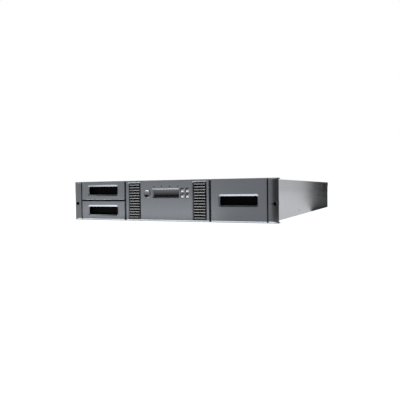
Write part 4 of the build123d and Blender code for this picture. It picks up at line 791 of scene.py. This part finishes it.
def serial_sockets(low, high):
    """Nine contact rings, five over four, on the face of the serial connector."""
    x = (low.x + high.x) / 2
    z = (low.z + high.z) / 2
    hole = [(SOCKET_HOLE, SOCKET_PROUD), (SOCKET_HOLE, SOCKET_FLOOR)]
    profile = scaled(SOCKET_RIM, SOCKET_RADIUS, SOCKET_PROUD) + hole
    sockets = []
    for count, rise in SOCKET_ROWS:
        for offset in row(count, SOCKET_PITCH):
            spot = Vector((x + offset, high.y, z + rise * SOCKET_ROW_GAP))
            sockets.append(turned(profile, facing(spot, Vector((0, 1, 0))), SOCKET_SIDES))
    add_solids("serial_sockets", sockets, "port_metal", "contact_gold")


def ports():
    """What lies inside the three sockets, in turn from high X to low."""
    network, usb, serial = sorted(solids_of("controller_ports"), key=lambda box: -box[0].x)
    network_contacts(*network)
    usb_tongue(*usb)
    serial_sockets(*serial)


def controller_parts():
    """Chips in a row along the controller board and a row of can capacitors beside them."""
    low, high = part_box("controller_board")
    x = (low.x + high.x) / 2
    y = low.y + CHIP_MARGIN
    chips = []
    for size in CHIP_SIZES:
        corner = Vector((x - size / 2, y, high.z))
        chips.append(brick(corner, corner + Vector((size, size, CHIP_HEIGHT)), CHIP_BEVEL))
        y += size + CHIP_GAP
    add_solids("controller_chips", chips, "black_plastic")
    profile = scaled(CAN_PROFILE, CAN_RADIUS, CAN_HEIGHT)
    cans = []
    for step in range(CANS):
        spot = Vector((high.x - CHIP_MARGIN, low.y + CHIP_MARGIN + step * CAN_PITCH, high.z))
        cans.append(turned(profile, Matrix.Translation(spot)))
    add_solids("controller_cans", cans, "bright_steel")


# Studio


def seen_share(graph):
    """One for rays that show the background: seen directly, in gloss or through glass."""
    path = graph.add("ShaderNodeLightPath")
    share = path.outputs["Is Camera Ray"]
    for name in ("Is Glossy Ray", "Is Transmission Ray"):
        share = graph.combined("MAXIMUM", share, path.outputs[name])
    return share


def studio_world():
    """Even light from all around, in front of a white background."""
    world = bpy.data.worlds.new("studio")
    bpy.context.scene.world = world
    graph = Graph(world)
    plain = graph.tree.nodes["Background"]
    white = graph.add("ShaderNodeBackground")
    for node, strength in ((plain, WORLD_LEVEL), (white, 1.0)):
        node.inputs["Color"].default_value = WHITE
        node.inputs["Strength"].default_value = strength
    both = graph.blend(seen_share(graph), plain.outputs["Background"], white.outputs["Background"])
    graph.link(both, graph.tree.nodes["World Output"].inputs["Surface"])


def sheet(name, points, material):
    """Flat piece of the studio through the points."""
    mesh = bpy.data.meshes.new(name)
    mesh.from_pydata(points, [], [range(len(points))])
    mesh.materials.append(material)
    piece = bpy.data.objects.new(name, mesh)
    bpy.context.scene.collection.objects.link(piece)
    return piece


def upright(path, height):
    """Points of an upright card over two places on the floor."""
    return [(x, y, z) for (x, y), z in zip((*path, *reversed(path)), (0, 0, height, height))]


def level(path, z):
    """Points of a level card."""
    return [(x, y, z) for x, y in path]


def studio_floor():
    """White floor. To the camera it is nearly all white, with the object's shadow on it."""
    material = bpy.data.materials.new("floor")
    graph = Graph(material)
    graph.tree.nodes.remove(graph.tree.nodes["Principled BSDF"])
    paper = graph.add("ShaderNodeBsdfDiffuse")
    paper.inputs["Color"].default_value = grey(FLOOR_PAPER)
    glow = graph.add("ShaderNodeEmission")
    glow.inputs["Strength"].default_value = FLOOR_GLOW
    lit = graph.add("ShaderNodeAddShader")
    graph.link(paper.outputs["BSDF"], lit.inputs[0])
    graph.link(glow.outputs["Emission"], lit.inputs[1])
    both = graph.blend(seen_share(graph), paper.outputs["BSDF"], lit.outputs["Shader"])
    graph.link(both, graph.tree.nodes["Material Output"].inputs["Surface"])
    ends = (-FLOOR_SIZE / 2, FLOOR_SIZE / 2)
    sheet("floor", level(rectangle(ends, ends), -FLOOR_DROP), material)


def light_strip():
    """Strip on the floor just in front, which lights the front from below and is not seen itself."""
    lamp = bpy.data.lights.new("light_strip", "AREA")
    lamp.shape = "RECTANGLE"
    lamp.size = STRIP_RIGHT - STRIP_LEFT
    lamp.size_y = STRIP_DEPTH
    lamp.energy = STRIP_LEVEL * pi * lamp.size * lamp.size_y
    piece = bpy.data.objects.new("light_strip", lamp)
    piece.location = ((STRIP_LEFT + STRIP_RIGHT) / 2, front_y - STRIP_GAP - STRIP_DEPTH / 2, STRIP_LIFT)
    piece.rotation_euler.x = pi
    piece.visible_camera = False
    piece.visible_glossy = False
    bpy.context.scene.collection.objects.link(piece)


def card(name, points, glow=0.0, angle=None, lean=None):
    """Studio card that is only seen mirrored in the object, black or glowing.

    With an angle, it is clear at the first slant and solid at the second. A slant goes from none,
    straight on, to one, edge on, and is measured from the card's face or from the way that it leans.
    """
    shader = Shader(name)
    shader.set("Base Color", grey(CARD_BLACK))
    shader.set("Roughness", 1.0)
    shader.set("Emission Color", WHITE)
    shader.set("Emission Strength", glow)
    if angle:
        slant = shader.add("ShaderNodeLayerWeight")
        if lean:
            way = shader.add("ShaderNodeCombineXYZ")
            for socket, value in zip(way.inputs, lean):
                socket.default_value = value
            shader.link(way.outputs["Vector"], slant.inputs["Normal"])
        shader.feed(shader.spread(slant.outputs["Facing"], 0.0, 1.0, *angle), "Alpha")
    piece = sheet(name, points, shader.material)
    piece.visible_camera = False
    piece.visible_diffuse = False
    piece.visible_shadow = False


def gleam_card():
    """White card at the foot of the front, which gleams in the edges that look down."""
    path = rectangle((STRIP_LEFT, GLEAM_RIGHT), (front_y - GLEAM_DEPTH, front_y + GLEAM_UNDER))
    card("gleam_card", level(path, STRIP_LIFT), GLEAM_LEVEL, GLEAM_ANGLE, GLEAM_LEAN)


def rear_cards():
    """Black wall and floor behind at the right, so that the case's side darkens towards the rear."""
    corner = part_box("chassis_tray")[1]
    camera_y = front_y - CAMERA_AHEAD
    mirror_x = 2 * corner.x - CAMERA_RIGHT
    start = camera_y + (corner.x - mirror_x) / MIRROR_SLOPE
    right = (mirror_x + MIRROR_SLOPE * (REAR_CARD_Y - camera_y), REAR_CARD_Y)
    left = (right[0] - REAR_CARD_WIDTH, REAR_CARD_Y)
    card("rear_card", upright((left, right), REAR_CARD_HEIGHT))
    path = ((corner.x, start + REAR_FLOOR_DELAY), right, left, (corner.x, corner.y))
    card("rear_floor_card", level(path, STRIP_LIFT), angle=REAR_FLOOR_ANGLE)


def ear_cards():
    """Black walls and floor ahead at the right, so that the rounded ear darkens outwards."""
    ahead = front_y - EAR_CARD_AHEAD
    foot = front_y - STRIP_GAP - STRIP_DEPTH
    near = (EAR_CARD_LEFT, ahead)
    corner = (EAR_CARD_RIGHT, ahead)
    far = (EAR_CARD_RIGHT, foot)
    card("ear_card_ahead", upright((near, corner), EAR_CARD_HEIGHT))
    card("ear_card_side", upright((corner, far), EAR_CARD_HEIGHT))
    card("ear_card_floor", level((near, corner, far, (GLEAM_RIGHT, foot)), STRIP_LIFT))


def top_card():
    """Black card over the front, which darkens the edges that look up and the button's hollow."""
    path = rectangle((-TOP_CARD_REACH, TOP_CARD_REACH), (front_y - TOP_CARD_DEPTH, front_y))
    card("top_card", level(path, TOP_CARD_HEIGHT), angle=TOP_CARD_ANGLE)


def photo_camera():
    """Camera with the photograph's place, angles and focal length."""
    ahead = cos(CAMERA_PITCH)
    forward = Vector((-sin(CAMERA_YAW) * ahead, cos(CAMERA_YAW) * ahead, sin(CAMERA_PITCH)))
    sideways = Vector((cos(CAMERA_YAW), sin(CAMERA_YAW), 0))
    plumb = sideways.cross(forward)
    right = cos(CAMERA_ROLL) * sideways + sin(CAMERA_ROLL) * plumb
    up = cos(CAMERA_ROLL) * plumb - sin(CAMERA_ROLL) * sideways
    camera = bpy.data.objects.new("camera", bpy.data.cameras.new("camera"))
    camera.data.sensor_width = SENSOR_WIDTH
    camera.data.lens = SENSOR_WIDTH * FOCAL_PIXELS / IMAGE_PIXELS
    turn = Matrix((right, up, -forward)).transposed().to_4x4()
    camera.matrix_world = Matrix.Translation((CAMERA_RIGHT, front_y - CAMERA_AHEAD, CAMERA_HEIGHT)) @ turn
    bpy.context.scene.collection.objects.link(camera)
    bpy.context.scene.camera = camera


case_screws()
thumbscrews("lower")
thumbscrews("upper")
lift_screw()
louvre_blades()
ports()
controller_parts()

bpy.context.scene.view_settings.view_transform = "Standard"
studio_world()
studio_floor()
light_strip()
gleam_card()
rear_cards()
ear_cards()
top_card()
photo_camera()
